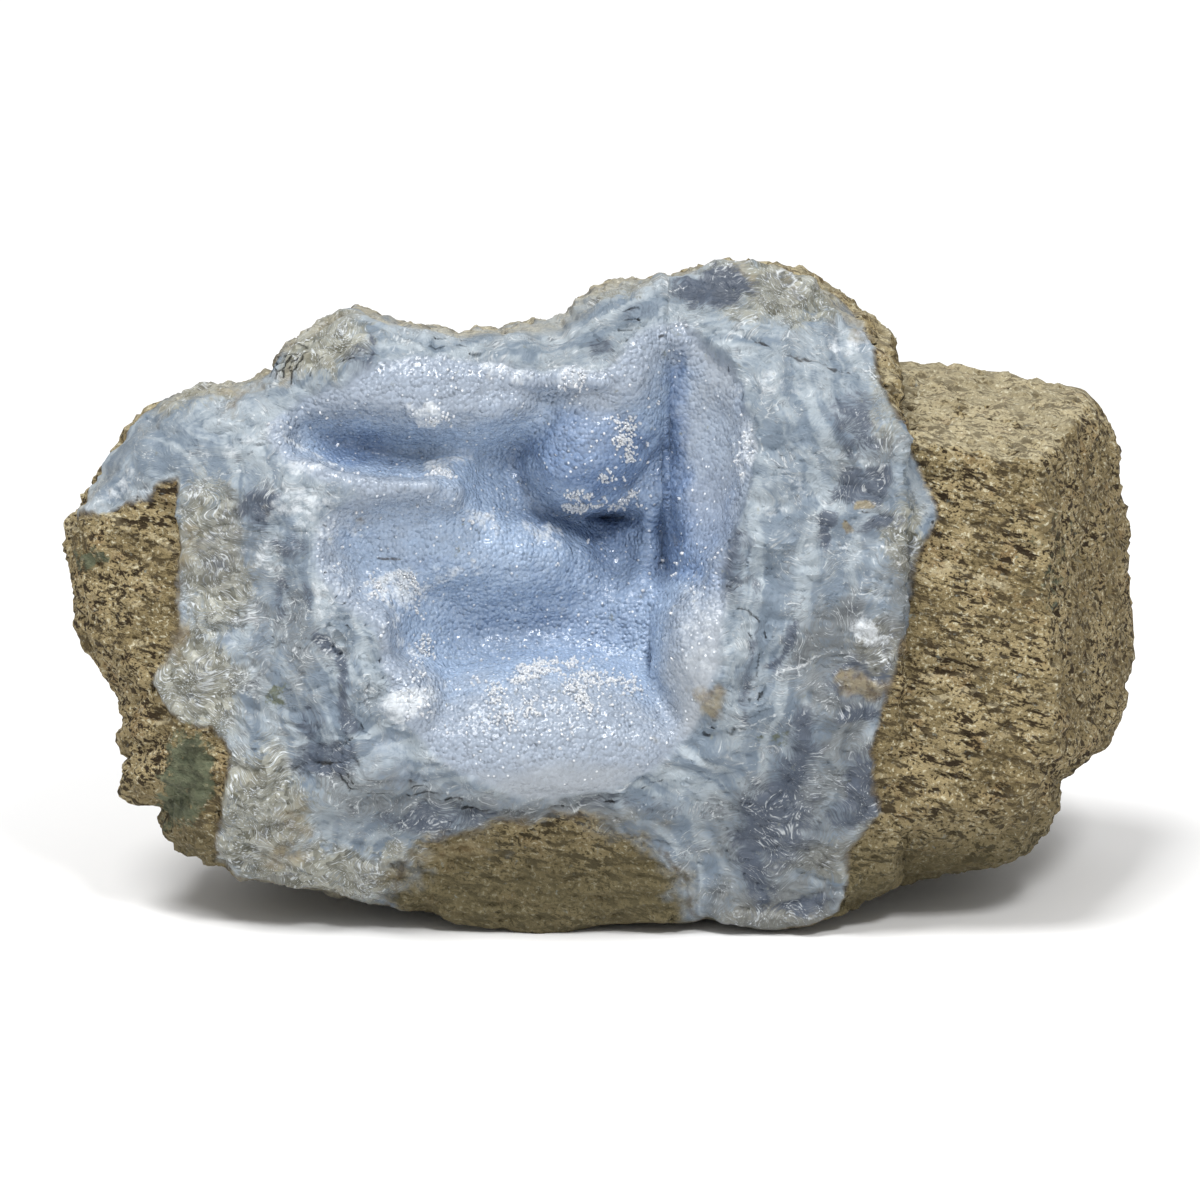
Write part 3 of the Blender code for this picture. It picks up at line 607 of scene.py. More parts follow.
@dataclass(frozen=True)
class Hollow:
    """The open space in the chalcedony: pockets run together, with mounds and lobes in them."""

    crust: float = 2.2
    blend: float = 3.0
    lobe_blend: float = 3.0
    pockets: tuple[Pocket, ...] = (
        Pocket((-6.5, -3.5, 2), (25.0, 24.5, 19)),
        Pocket((-5.0, 8.0, 0), (19.0, 13.0, 24)),
        Pocket((-3.0, 19.5, 1), (19.5, 12.5, 22)),
        Pocket((-26.5, 22.5, 2), (20.5, 8.6, 14), -3),
        Pocket((-18.0, 27.0, 6), (24.0, 9.5, 10.0), -3),
        Pocket((-26.5, 6.0, 2), (13.5, 10.5, 10), -10),
        Pocket((10.5, 21.5, 3), (11.5, 21.5, 15), -2),
        Pocket((8.8, 7.5, -4), (4.8, 10.0, 16.5)),
        Pocket((9.3, 21.0, -1), (2.8, 13.0, 10.5), 2),
        Pocket((7.2, -7.0, -2), (4.2, 13.0, 13)),
        Pocket((0.5, 11.8, -8), (8.0, 4.6, 18)),
    )
    lobes: tuple[Pocket, ...] = (
        Pocket((-1.5, 25.0, -15), (9.0, 11.0, 12.0)),
        Pocket((-4.0, 19.5, -16), (6.5, 5.5, 11.5)),
        Pocket((4.0, 33.0, -14), (6.3, 10.0, 11.5)),
        Pocket((-21.0, 8.0, -20), (25.0, 9.0, 14), -14, 12),
        Pocket((-8.5, -18.5, -13), (20.5, 10.5, 16.5)),
        Pocket((4.0, -20.0, -12), (10.0, 7.0, 13.5)),
        Pocket((-20.0, -21.0, -11), (11.0, 6.5, 13.0)),
        Pocket((-9.0, -21.5, -8), (20.0, 7.3, 12.5), 1),
        Pocket((17.5, -8.5, -7), (9.5, 12.8, 13.5)),
        Pocket((-28.5, -14.5, -9.5), (8.0, 7.0, 14)),
        Pocket((-30.5, -22.0, -7), (7.0, 5.2, 11)),
        Pocket((-25.0, 29.5, -12), (21.0, 7.0, 12.3), -3),
    )

    def open_space(self, points: Array, grow: float = 0.0) -> Array:
        """About how far points lie outside the pockets, once they are grown."""
        value = np.full(len(points), 1e3)
        for pocket in self.pockets:
            value = smooth_min(value, pocket.outside(points, grow), self.blend)
        return value

    def lumps(self, points: Array) -> Array:
        """About how far points lie outside the mounds and hanging lobes."""
        value = np.full(len(points), 1e3)
        for lobe in self.lobes:
            value = smooth_min(value, lobe.outside(points), self.lobe_blend)
        return value


@dataclass(frozen=True)
class Nodule:
    """The room of the chalcedony: its contact with the rock, rounded off towards the back."""

    dome: Pocket = Pocket((-4.0, 0.0, 6.0), (78.0, 53.0, 52.0))
    contact: tuple[tuple[float, float], ...] = (
        (-83, 14), (-69, 25), (-56, 33), (-46, 36), (-36, 44), (-21, 41), (-8, 42), (0, 46),
        (14, 51), (27, 50), (35, 43), (37.5, 35.5), (39, 30), (42.5, 23.5), (45.5, 16.5),
        (46.5, 11), (43.5, 5.5), (42.5, -3), (41, -10), (39, -15), (37.5, -22), (39.5, -30),
        (35, -35), (34, -44), (30, -52), (19, -52), (13.5, -44), (12, -39), (8, -34), (0, -31),
        (-7, -29.5), (-15, -31), (-23, -34), (-28, -38), (-31, -46), (-42, -48), (-53, -44),
        (-58, -40), (-53.5, -35), (-52.5, -28), (-51.5, -22), (-53.5, -17.5), (-60, -16),
        (-62.5, -12.5), (-60.5, -8.5), (-58.7, -3), (-58.5, 6), (-58.8, 17), (-63, 15),
        (-70, 12.5), (-78, 11),
    )

    def outside(self, points: Array) -> Array:
        """About how far points lie outside the chalcedony."""
        s = points[:, 0] + 1.5 * Grain(31).rugged(points, 7, 4, 0.65)
        t = points[:, 1] + 1.8 * Grain(32).rugged(points, 7, 4, 0.65)
        line = self.contact + self.contact[:1]
        gap = Stroke(line, 1.0).away(s, t)
        inside = np.zeros(len(s), bool)
        for (s0, t0), (s1, t1) in zip(line, line[1:]):
            crosses = (t0 > t) != (t1 > t)
            rise = t1 - t0 if t1 != t0 else 1e-9
            inside ^= crosses & (s < s0 + (t - t0) * (s1 - s0) / rise)
        return np.maximum(np.where(inside, -gap, gap), self.dome.outside(points))


@dataclass(frozen=True)
class Form:
    """The whole specimen as values over space, below 0 inside."""

    rock: RockBody = RockBody()
    hollow: Hollow = Hollow()
    nodule: Nodule = Nodule()
    rim: float = 6.5
    joint: float = 5.0
    crisp_rim: float = 1.6

    def solid(self, points: Array) -> Array:
        """Everything that isn't air."""
        rim = self.rim - (self.rim - self.crisp_rim) * self.read(Mark.CRISP, points)
        space = self.hollow.open_space(points, -self.hollow.crust)
        space = space + 0.6 * Grain(21).rugged(points, 8, 2)
        hollowed = smooth_max(self.rock.outside(points), -space, rim)
        joint = self.joint - (self.joint - self.crisp_rim) * self.read(Mark.CRISP, points)
        return smooth_min(hollowed, self.hollow.lumps(points) + 0.6 * Grain(22).rugged(points, 7, 2), joint)

    def in_crust(self, points: Array) -> Array:
        """About how far points lie outside the crust's own room."""
        return np.minimum(self.hollow.open_space(points), self.hollow.lumps(points))

    def seen(self, points: Array) -> tuple[Array, Array]:
        """The places on the face in front of which points are seen."""
        nearer = 1 / (1 - points[:, 2] / self.rock.seen_from)
        return points[:, 0] * nearer, points[:, 1] * nearer

    def read(self, mark: Mark, points: Array, wobble: float = 0.0) -> Array:
        """Strength of a kind of mark, from 0 to 1.

        Args:
            mark: the kind.
            points: where, three numbers a row.
            wobble: how far the marks' edges wander, in millimetres.

        Returns:
            Strengths.
        """
        s, t = self.seen(points)
        if wobble:
            s = s + wobble * Grain(61).rugged(points, 3.5, 3, 0.6)
            t = t + wobble * Grain(62).rugged(points, 3.5, 3, 0.6)
        total = np.zeros(len(points))
        for shape in MARKS.get(mark, ()):
            total = np.maximum(total, shape.mark(s, t))
        return total


@dataclass
class Net:
    """Points joined by triangles, each with the skin behind it and the one in front of it."""

    form: Form
    step: float = 1.0
    sparse: int = 4
    reach: float = 8.0
    points: Array = field(default_factory=lambda: np.zeros((0, 3)))
    triangles: Array = field(default_factory=lambda: np.zeros((0, 3), int))
    behind: Array = field(default_factory=lambda: np.zeros(0, int))
    ahead: Array = field(default_factory=lambda: np.zeros(0, int))

    def sampled(self, measure: Callable[[Array], Array], spots: Array) -> Array:
        """Values on a block of even spots, worked out one by one only where they are near 0.

        Args:
            measure: gives a value for each point.
            spots: the block, with the three numbers of a spot last.

        Returns:
            A block of values.
        """
        few = spots[:: self.sparse, :: self.sparse, :: self.sparse]
        rough = measure(few.reshape(-1, 3)).reshape(few.shape[:3])
        nearest = [
            np.minimum((np.arange(size) + self.sparse // 2) // self.sparse, have - 1)
            for size, have in zip(spots.shape, rough.shape)
        ]
        value = rough[np.ix_(*nearest)]
        close = np.abs(value) < self.reach
        value[close] = measure(spots[close])
        return value

    def cast(self) -> None:
        """Lays the first, even net over every change of skin."""
        axes = [np.arange(-84, 84, self.step), np.arange(-56, 56, self.step), np.arange(-82, 12, self.step)]
        spots = np.stack(np.meshgrid(*axes, indexing="ij"), axis=-1)
        solid = self.sampled(self.form.solid, spots)
        crust = self.sampled(self.form.in_crust, spots)
        nodule = self.sampled(self.form.nodule.outside, spots)
        skins = np.where(crust < 0, Skin.CRUST, np.where(nodule < 0, Skin.AGATE, Skin.ROCK))
        skins = np.where(solid < 0, skins, Skin.AIR)
        cells = tuple(size - 1 for size in solid.shape)
        count = np.zeros(math.prod(cells))
        total = np.zeros((len(count), 3))
        edges = []
        for axis in range(3):
            low, high = [slice(None)] * 3, [slice(None)] * 3
            low[axis], high[axis] = slice(None, -1), slice(1, None)
            low, high = tuple(low), tuple(high)
            where = np.argwhere(skins[low] != skins[high])
            lower = tuple(where.T)
            upper = tuple((where + np.eye(3, dtype=int)[axis]).T)
            a, b = skins[lower], skins[upper]
            ends = [(values[lower], values[upper]) for values in (solid, crust, nodule)]
            part = self.crossing(a, b, ends)
            place = spots[lower] + (spots[upper] - spots[lower]) * part[:, None]
            edges.append((axis, where, a, b))
            for cell in self.cells_round(where, axis):
                good = (cell >= 0).all(axis=1) & (cell < cells).all(axis=1)
                spot = np.ravel_multi_index(tuple(cell[good].T), cells)
                count += np.bincount(spot, minlength=len(count))
                for along in range(3):
                    total[:, along] += np.bincount(spot, place[good, along], len(count))
        used = count > 0
        number = np.full(len(count), -1)
        number[used] = np.arange(used.sum())
        self.points = total[used] / count[used][:, None]
        self.weave(edges, number.reshape(cells))

    @staticmethod
    def cells_round(where: Array, axis: int) -> list[Array]:
        """The four cells round each edge of the block, in turn."""
        first, second = [(1, 2), (2, 0), (0, 1)][axis]
        cells = []
        for back_first, back_second in ((1, 1), (0, 1), (0, 0), (1, 0)):
            cell = where.copy()
            cell[:, first] -= back_first
            cell[:, second] -= back_second
            cells.append(cell)
        return cells

    @staticmethod
    def crossing(one: Array, other: Array, values: list[tuple[Array, Array]]) -> Array:
        """Where along each edge one skin gives way to the other.

        Args:
            one: skins at the edges' lower ends.
            other: skins at their upper ends.
            values: for solid, crust and nodule, the values at both ends.

        Returns:
            Shares of the edges' lengths.
        """
        air = (one == Skin.AIR) | (other == Skin.AIR)
        crusty = ~air & ((one == Skin.CRUST) | (other == Skin.CRUST))
        low = np.where(air, values[0][0], np.where(crusty, values[1][0], values[2][0]))
        high = np.where(air, values[0][1], np.where(crusty, values[1][1], values[2][1]))
        spread = np.where(np.abs(low - high) < 1e-6, 1e-6, low - high)
        return np.clip(low / spread, 0.02, 0.98)

    def weave(self, edges: list, number: Array) -> None:
        """Joins the points of the cells round each edge by two triangles."""
        faces, behind, ahead = [], [], []
        for axis, where, a, b in edges:
            corners = self.cells_round(where, axis)
            good = np.ones(len(where), bool)
            for cell in corners:
                good &= (cell >= 0).all(axis=1) & (cell < number.shape).all(axis=1)
            a, b = a[good], b[good]
            quad = np.stack([number[tuple(cell[good].T)] for cell in corners], axis=1)
            quad = np.where((a == Skin.AIR)[:, None], quad[:, ::-1], quad)
            back = np.where(a == Skin.AIR, b, a)
            front = np.where(a == Skin.AIR, a, b)
            ends = self.points[quad]
            span = np.linalg.norm(ends[:, :2] - ends[:, 2:], axis=2)
            quad = np.where((span[:, 0] > span[:, 1])[:, None], np.roll(quad, -1, axis=1), quad)
            faces += [quad[:, [0, 1, 2]], quad[:, [0, 2, 3]]]
            behind += [back, back]
            ahead += [front, front]
        self.triangles = np.concatenate(faces)
        self.behind = np.concatenate(behind)
        self.ahead = np.concatenate(ahead)

    def outer(self) -> Array:
        """Which triangles have air in front of them."""
        return self.ahead == Skin.AIR

    def skin_points(self) -> Array:
        """Numbers of the points on the outer surface."""
        return np.unique(self.triangles[self.outer()])

    def touching(self, skin: Skin) -> Array:
        """Which points belong to an outer triangle of a skin."""
        touched = np.zeros(len(self.points), bool)
        touched[self.triangles[self.outer() & (self.behind == skin)]] = True
        return touched

    def refine(self, spacing: Array) -> None:
        """Splits the edges that are longer than wanted.

        Args:
            spacing: wanted edge length at each point.
        """
        pairs = self.triangles[:, [[0, 1], [1, 2], [2, 0]]].reshape(-1, 2)
        pairs = np.sort(pairs, axis=1)
        keys, index = np.unique(pairs[:, 0] * len(self.points) + pairs[:, 1], return_inverse=True)
        one, other = keys // len(self.points), keys % len(self.points)
        length = np.linalg.norm(self.points[one] - self.points[other], axis=1)
        index = index.reshape(-1, 3)
        split = length > 1.42 * np.minimum(spacing[one], spacing[other])
        longest = np.take_along_axis(index, np.argmax(length[index], axis=1)[:, None], axis=1)[:, 0]
        for _ in range(6):
            touched = split[index].any(axis=1)
            split[longest[touched]] = True
        fresh = np.full(len(keys), -1)
        fresh[split] = len(self.points) + np.arange(split.sum())
        self.points = np.concatenate([self.points, (self.points[one[split]] + self.points[other[split]]) / 2])
        self.split_faces(fresh[index])

    def split_faces(self, mids: Array) -> None:
        """Cuts each triangle by the middles of its split edges, -1 where an edge is whole."""
        tri = self.triangles
        count = (mids >= 0).sum(axis=1)
        pieces, homes = [tri[count == 0]], [np.flatnonzero(count == 0)]
        for lead in range(3):
            a, b, c = (tri[:, (lead + step) % 3] for step in range(3))
            ab, bc, ca = (mids[:, (lead + step) % 3] for step in range(3))
            single = (count == 1) & (ab >= 0)
            double = (count == 2) & (ca < 0)
            triple = (count == 3) & (lead == 0)
            cuts = [
                (single, [(a, ab, c), (ab, b, c)]),
                (double, [(ab, b, bc), (a, ab, bc), (a, bc, c)]),
                (triple, [(a, ab, ca), (ab, b, bc), (ca, bc, c), (ab, bc, ca)]),
            ]
            for chosen, parts in cuts:
                for part in parts:
                    pieces.append(np.stack([corner[chosen] for corner in part], axis=1))
                    homes.append(np.flatnonzero(chosen))
        home = np.concatenate(homes)
        self.triangles = np.concatenate(pieces)
        self.behind, self.ahead = self.behind[home], self.ahead[home]

    def settle(self, rounds: int = 1) -> None:
        """Brings the outer points back onto the specimen's surface."""
        skin = self.skin_points()
        for _ in range(rounds):
            value = self.form.solid(self.points[skin])
            self.points[skin] -= self.normals()[skin] * np.clip(0.85 * value, -0.6, 0.6)[:, None]

    def straighten(self, rounds: int = 3) -> None:
        """Draws the outer line between rock and chalcedony onto their contact."""
        border = np.flatnonzero(self.touching(Skin.ROCK) & self.touching(Skin.AGATE))
        for _ in range(rounds):
            spots, facing = self.points[border], self.normals()[border]
            value = self.form.nodule.outside(spots)
            slope = np.stack(
                [(self.form.nodule.outside(spots + step) - value) / 0.2 for step in np.eye(3) * 0.2], axis=1
            )
            slope -= facing * (slope * facing).sum(axis=1)[:, None]
            steep = np.maximum((slope**2).sum(axis=1), 0.3)
            self.points[border] -= slope * np.clip(value / steep, -0.45, 0.45)[:, None]
            self.relax(border)

    def relax(self, fixed: Array) -> None:
        """Evens out the outer points round some fixed ones, along the surface."""
        tri = self.triangles[self.outer()]
        near = np.zeros(len(self.points), bool)
        near[fixed] = True
        for _ in range(2):
            near[tri[near[tri].any(axis=1)]] = True
        near[fixed] = False
        move = np.where(near[:, None], self.amid(tri) - self.points, 0)
        facing = self.normals()
        self.points += 0.6 * (move - facing * (move * facing).sum(axis=1)[:, None])

    def amid(self, tri: Array) -> Array:
        """The middle of each point's neighbours over some triangles."""
        total, count = np.zeros_like(self.points), np.zeros(len(self.points))
        for one, other in ((0, 1), (1, 2), (2, 0), (1, 0), (2, 1), (0, 2)):
            for axis in range(3):
                total[:, axis] += np.bincount(tri[:, one], self.points[tri[:, other], axis], len(total))
            count += np.bincount(tri[:, one], minlength=len(total))
        return total / np.maximum(count, 1)[:, None]

    def ease(self, height: Array, steepest: float = 0.95, rounds: int = 6) -> Array:
        """Takes the steepness out of a relief where it would fold the net over.

        Args:
            height: of each point.
            steepest: rise for each millimetre along an edge.
            rounds: how often the heights are drawn together.

        Returns:
            The eased heights.
        """
        tri = self.triangles[self.outer()]
        one, other = tri[:, [0, 1, 2]].ravel(), tri[:, [1, 2, 0]].ravel()
        longest = steepest * np.linalg.norm(self.points[one] - self.points[other], axis=1)
        for _ in range(rounds):
            rise = height[one] - height[other]
            excess = np.sign(rise) * np.maximum(np.abs(rise) - longest, 0) / 2
            over = (excess != 0).astype(float)
            move = np.bincount(other, excess, len(height)) - np.bincount(one, excess, len(height))
            count = np.bincount(other, over, len(height)) + np.bincount(one, over, len(height))
            height = height + move / np.maximum(count, 1)
        return height

    def sink(self, shift: Array) -> Array:
        """Lets the points inside, near the surface, follow a shift of it.

        Args:
            shift: of the outer points.

        Returns:
            The shift of every point.
        """
        one, other = self.triangles[:, [0, 1, 2, 1, 2, 0]].ravel(), self.triangles[:, [1, 2, 0, 0, 1, 2]].ravel()
        known = np.zeros(len(self.points), bool)
        known[self.skin_points()] = True
        shift = np.where(known[:, None], shift, 0)
        for share in (1.0, 0.9, 0.6, 0.3):
            use = known[other] & ~known[one]
            count = np.bincount(one[use], minlength=len(known))
            total = [np.bincount(one[use], shift[other[use], axis], len(known)) for axis in range(3)]
            fresh = count > 0
            shift[fresh] = share * (np.stack(total, axis=1)[fresh] / count[fresh][:, None])
            known |= fresh
        return shift

    def bury(self, depth: float = 3.0) -> None:
        """Takes the points inside, where two stones touch, well below the outer surface.

        Args:
            depth: how far below, in millimetres.
        """
        inside = np.zeros(len(self.points), bool)
        inside[self.triangles] = True
        inside[self.skin_points()] = False
        inside = np.flatnonzero(inside)
        value = self.form.solid(self.points[inside])
        inside, value = inside[value > -depth], value[value > -depth]
        spots = self.points[inside]
        slope = np.stack([self.form.solid(spots + step) - value for step in np.eye(3) * 0.3], axis=1)
        slope /= np.maximum(np.linalg.norm(slope, axis=1), 1e-6)[:, None]
        self.points[inside] -= slope * (depth + value)[:, None]

    def unfold(self, facing: Array, rounds: int = 8) -> None:
        """Evens out the spots where the relief has folded the net over.

        Args:
            facing: the way that the surface faced before the relief.
            rounds: how often the folds are looked for.
        """
        tri = self.triangles[self.outer()]
        for _ in range(rounds):
            a, b, c = (self.points[tri[:, corner]] for corner in range(3))
            across = np.cross(b - a, c - a)
            across /= np.maximum(np.linalg.norm(across, axis=1), 1e-12)[:, None]
            folded = (across * facing[tri].mean(axis=1)).sum(axis=1) < 0.2
            near = np.unique(tri[folded])
            self.points[near] = self.amid(tri)[near]

    def normals(self) -> Array:
        """The way that the outer surface faces at each point."""
        tri = self.triangles[self.outer()]
        a, b, c = (self.points[tri[:, corner]] for corner in range(3))
        facing = np.cross(b - a, c - a)
        total = np.zeros_like(self.points)
        for corner in range(3):
            for axis in range(3):
                total[:, axis] += np.bincount(tri[:, corner], facing[:, axis], len(total))
        return total / np.maximum(np.linalg.norm(total, axis=1), 1e-12)[:, None]

    def part(self, skin: Skin) -> tuple[Array, Array]:
        """The closed piece of one skin.

        Args:
            skin: which one.

        Returns:
            The numbers of its points in the net, and its triangles over those.
        """
        own, facing = self.behind == skin, self.ahead == skin
        tri = np.concatenate([self.triangles[own], self.triangles[facing][:, ::-1]])
        used, index = np.unique(tri, return_inverse=True)
        return used, index.reshape(-1, 3)


@dataclass
class Reading:
    """What the stone is like at each point of the net's outer surface, from 0 to 1 or in millimetres."""

    place: Array
    facing: Array
    inset: Array
    sunk: Array
    rock: Array
    crust: Array
    rind: Array
    marks: dict[Mark, Array]

    @classmethod
    def of(cls, form: Form, points: Array, facing: Array) -> "Reading":
        """Reads the stone at points of the surface, before its relief.

        Args:
            form: the specimen.
            points: where, three numbers a row.
            facing: the way that the surface faces there.

        Returns:
            The reading.
        """
        outside = form.nodule.outside(points)
        blur = 0.35 + 2.6 * (1 - fade(points[:, 1], -36, -24)) * (1 - fade(np.abs(points[:, 0] + 8), 22, 34))
        mottle = 2.0 * (blur - 0.35) * Grain(65).rugged(points, 3.2, 4, 0.7)
        crust = form.in_crust(points) + 0.9 * Grain(63).rugged(points, 5, 3, 0.6)
        side = fade(facing[:, 2], -0.1, 0.35) * fade(points[:, 2], -60, -45)
        marks = {mark: form.read(mark, points, 2.0) * side for mark in Mark}
        for mark in (Mark.INK, Mark.SHINE):
            marks[mark] = form.read(mark, points, 0.9) * side
        depth = points[:, 2] + 2.5 * Grain(64).rugged(points, 7, 3, 0.6)
        apart = fade(form.hollow.open_space(points), 1.0, 5.0)
        return cls(
            place=points,
            facing=facing,
            inset=-outside,
            sunk=form.rock.face_height(points[:, 0], points[:, 1]) - points[:, 2],
            rock=fade(outside + mottle, -blur, blur),
            crust=1 - fade(crust, -1.3, 0.3),
            rind=(1 - fade(depth, -11, -5)) * (1 - fade(facing[:, 2], 0.0, 0.5)) * apart,
            marks=marks,
        )


@dataclass(frozen=True)
class Sub:
    """One grown piece of the specimen: its name, what it stands for, and how fine its net is."""

    name: str
    node: str
    slot: str
    skin: Skin
    spacing: float

    def build(self, net: Net, reading: Reading, material: bpy.types.Material) -> bpy.types.Object:
        """Makes the piece from its part of the net and dresses it.

        Args:
            net: the net, with its relief.
            reading: what the stone is like at the net's points.
            material: the piece's finish.

        Returns:
            The piece.
        """
        used, triangles = net.part(self.skin)
        piece = add_mesh(self.name, net.points[used], triangles)
        marks = reading.marks
        layers = {
            "zones": (reading.rock, reading.crust, marks[Mark.QUARTZ], reading.rind),
            # The stains layer also carries the deep marks: deep blue chalcedony, and painted shade in the hollow.
            "stains": (marks[Mark.WHITE], marks[Mark.DEEP], marks[Mark.WARM], marks[Mark.GREEN]),
            "lines": (marks[Mark.INK], marks[Mark.SHINE], marks[Mark.SPARK], marks[Mark.SMOOTH]),
        }
        for name, parts in layers.items():
            layer = piece.data.attributes.new(name, "FLOAT_COLOR", "POINT")
            layer.data.foreach_set("color", np.stack(parts, axis=1)[used].astype(np.float32).ravel())
        inside = np.stack([reading.inset, reading.sunk, marks[Mark.DRAB]], axis=1)
        for name, values in {"place": reading.place, "inside": inside}.items():
            layer = piece.data.attributes.new(name, "FLOAT_VECTOR", "POINT")
            layer.data.foreach_set("vector", values[used].astype(np.float32).ravel())
        piece.data.materials.append(material)
        piece.data.shade_smooth()
        piece.data.set_sharp_from_angle(angle=math.radians(42))
        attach(piece, "root")
        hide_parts(self.node)
        LOG.info("%s: %d triangles", self.name, len(triangles))
        return piece


@dataclass(frozen=True)
class HostRock(Sub):
    """The olive volcanic rock: grainy and pitted, with drawn-out ledges on its broken front."""

    lumps: float = 0.85
    ledges: float = 0.95
    grains: float = 0.28
    pits: float = 0.9

    def relief(self, reading: Reading) -> Array:
        """Height of the rock's relief, in millimetres."""
        place = reading.place
        height = self.lumps * Grain(41).rugged(place, 5.5, 4, 0.6)
        slant = fade(place[:, 1], -14, 6)
        level = Grain(42).rugged(stretched(place, 4, 4.5, 1.1, 2.0), 1, 2)
        diagonal = Grain(43).rugged(stretched(place, -34, 4.5, 1.0, 2.0), 1, 2)
        height += self.ledges * (level * (1 - slant) + diagonal * slant)
        height += self.grains * Grain(44).crystals(place, 1.25)
        near, _, name = Grain(45).cells(stretched(place, -8, 1.7, 1.0, 1.3), 1.0)
        return height - self.pits * (1 - fade(near, 0.1, 0.42)) * fade(name, 0.55, 0.7)


@dataclass(frozen=True)
class AgateLining(Sub):
    """The banded chalcedony: chipped and fibrous, with a margin of sugary quartz."""

    swells: float = 1.6
    chips: float = 2.6
    small_chips: float = 1.25
    fibres: float = 0.38
    ledge: float = 0.6
    ledge_width: float = 3.0
    sugar: float = 1.1

    def relief(self, reading: Reading) -> Array:
        """Height of the chalcedony's relief, in millimetres."""
        place = reading.place
        bent = place + 2.2 * np.stack([Grain(seed).soft(place, 7) for seed in (58, 59, 60)], axis=1)
        height = self.swells * Grain(50).rugged(place, 13, 3, 0.5)
        height += self.chips * (Grain(51).crystals(stretched(bent, 12, 11, 7, 9), 1) - 0.5)
        height += self.small_chips * (Grain(52).crystals(stretched(bent, -14, 5, 2.4, 3.5), 1) - 0.5)
        lines = Grain(53).rugged(stretched(bent, -6, 3.2, 0.8, 1.2), 1, 3, 0.6)
        height += self.fibres * (1 - 2 * np.abs(lines))
        turn = reading.inset / self.ledge_width + 0.8 * Grain(54).soft(place, 6)
        step = turn - np.floor(turn)
        height += self.ledge * (step - fade(step, 0.85, 1.0)) * fade(Grain(55).soft(place, 9), -0.2, 0.3)
        quartz = reading.marks[Mark.QUARTZ]
        height += self.sugar * quartz * (Grain(56).crystals(place, 2.3) - 0.4)
        height += 0.45 * self.sugar * quartz * Grain(57).crystals(place, 1.15)
        return height - 0.5 * reading.marks[Mark.INK]


@dataclass(frozen=True)
class CrystalCrust(Sub):
    """The druse of the hollow: rounded knobs covered with small crystals."""

    knobs: float = 0.7
    knob_size: float = 4.2
    druse: float = 0.34
    druse_size: float = 0.85
    coarse: float = 0.5

    def relief(self, reading: Reading) -> Array:
        """Height of the crust's relief, in millimetres."""
        place, marks = reading.place, reading.marks
        rough = 1 - 0.75 * marks[Mark.SMOOTH]
        near, _, _ = Grain(71).cells(place, self.knob_size)
        height = self.knobs * rough * (0.5 - near**2)
        height += self.druse * (0.25 + 0.75 * rough) * Grain(72).crystals(place, self.druse_size)
        bright = np.maximum(marks[Mark.SPARK], marks[Mark.WHITE])
        height += self.coarse * bright * Grain(73).crystals(place, 1.7)
        return height + 0.5 * Grain(74).rugged(place, 3.0, 3) * marks[Mark.WHITE]


def add_mesh(name: str, points: Array, triangles: Array) -> bpy.types.Object:
    """Makes an object from points of the face frame and the triangles over them."""
    mesh = bpy.data.meshes.new(name)
    mesh.vertices.add(len(points))
    mesh.vertices.foreach_set("co", FACE.to_model(points).astype(np.float32).ravel())
    mesh.loops.add(triangles.size)
    mesh.loops.foreach_set("vertex_index", triangles.astype(np.int32).ravel())
    mesh.polygons.add(len(triangles))
    mesh.polygons.foreach_set("loop_start", np.arange(0, triangles.size, 3, dtype=np.int32))
    mesh.update(calc_edges=True)
    mesh.validate()
    obj = bpy.data.objects.new(name, mesh)
    bpy.context.scene.collection.objects.link(obj)
    return obj


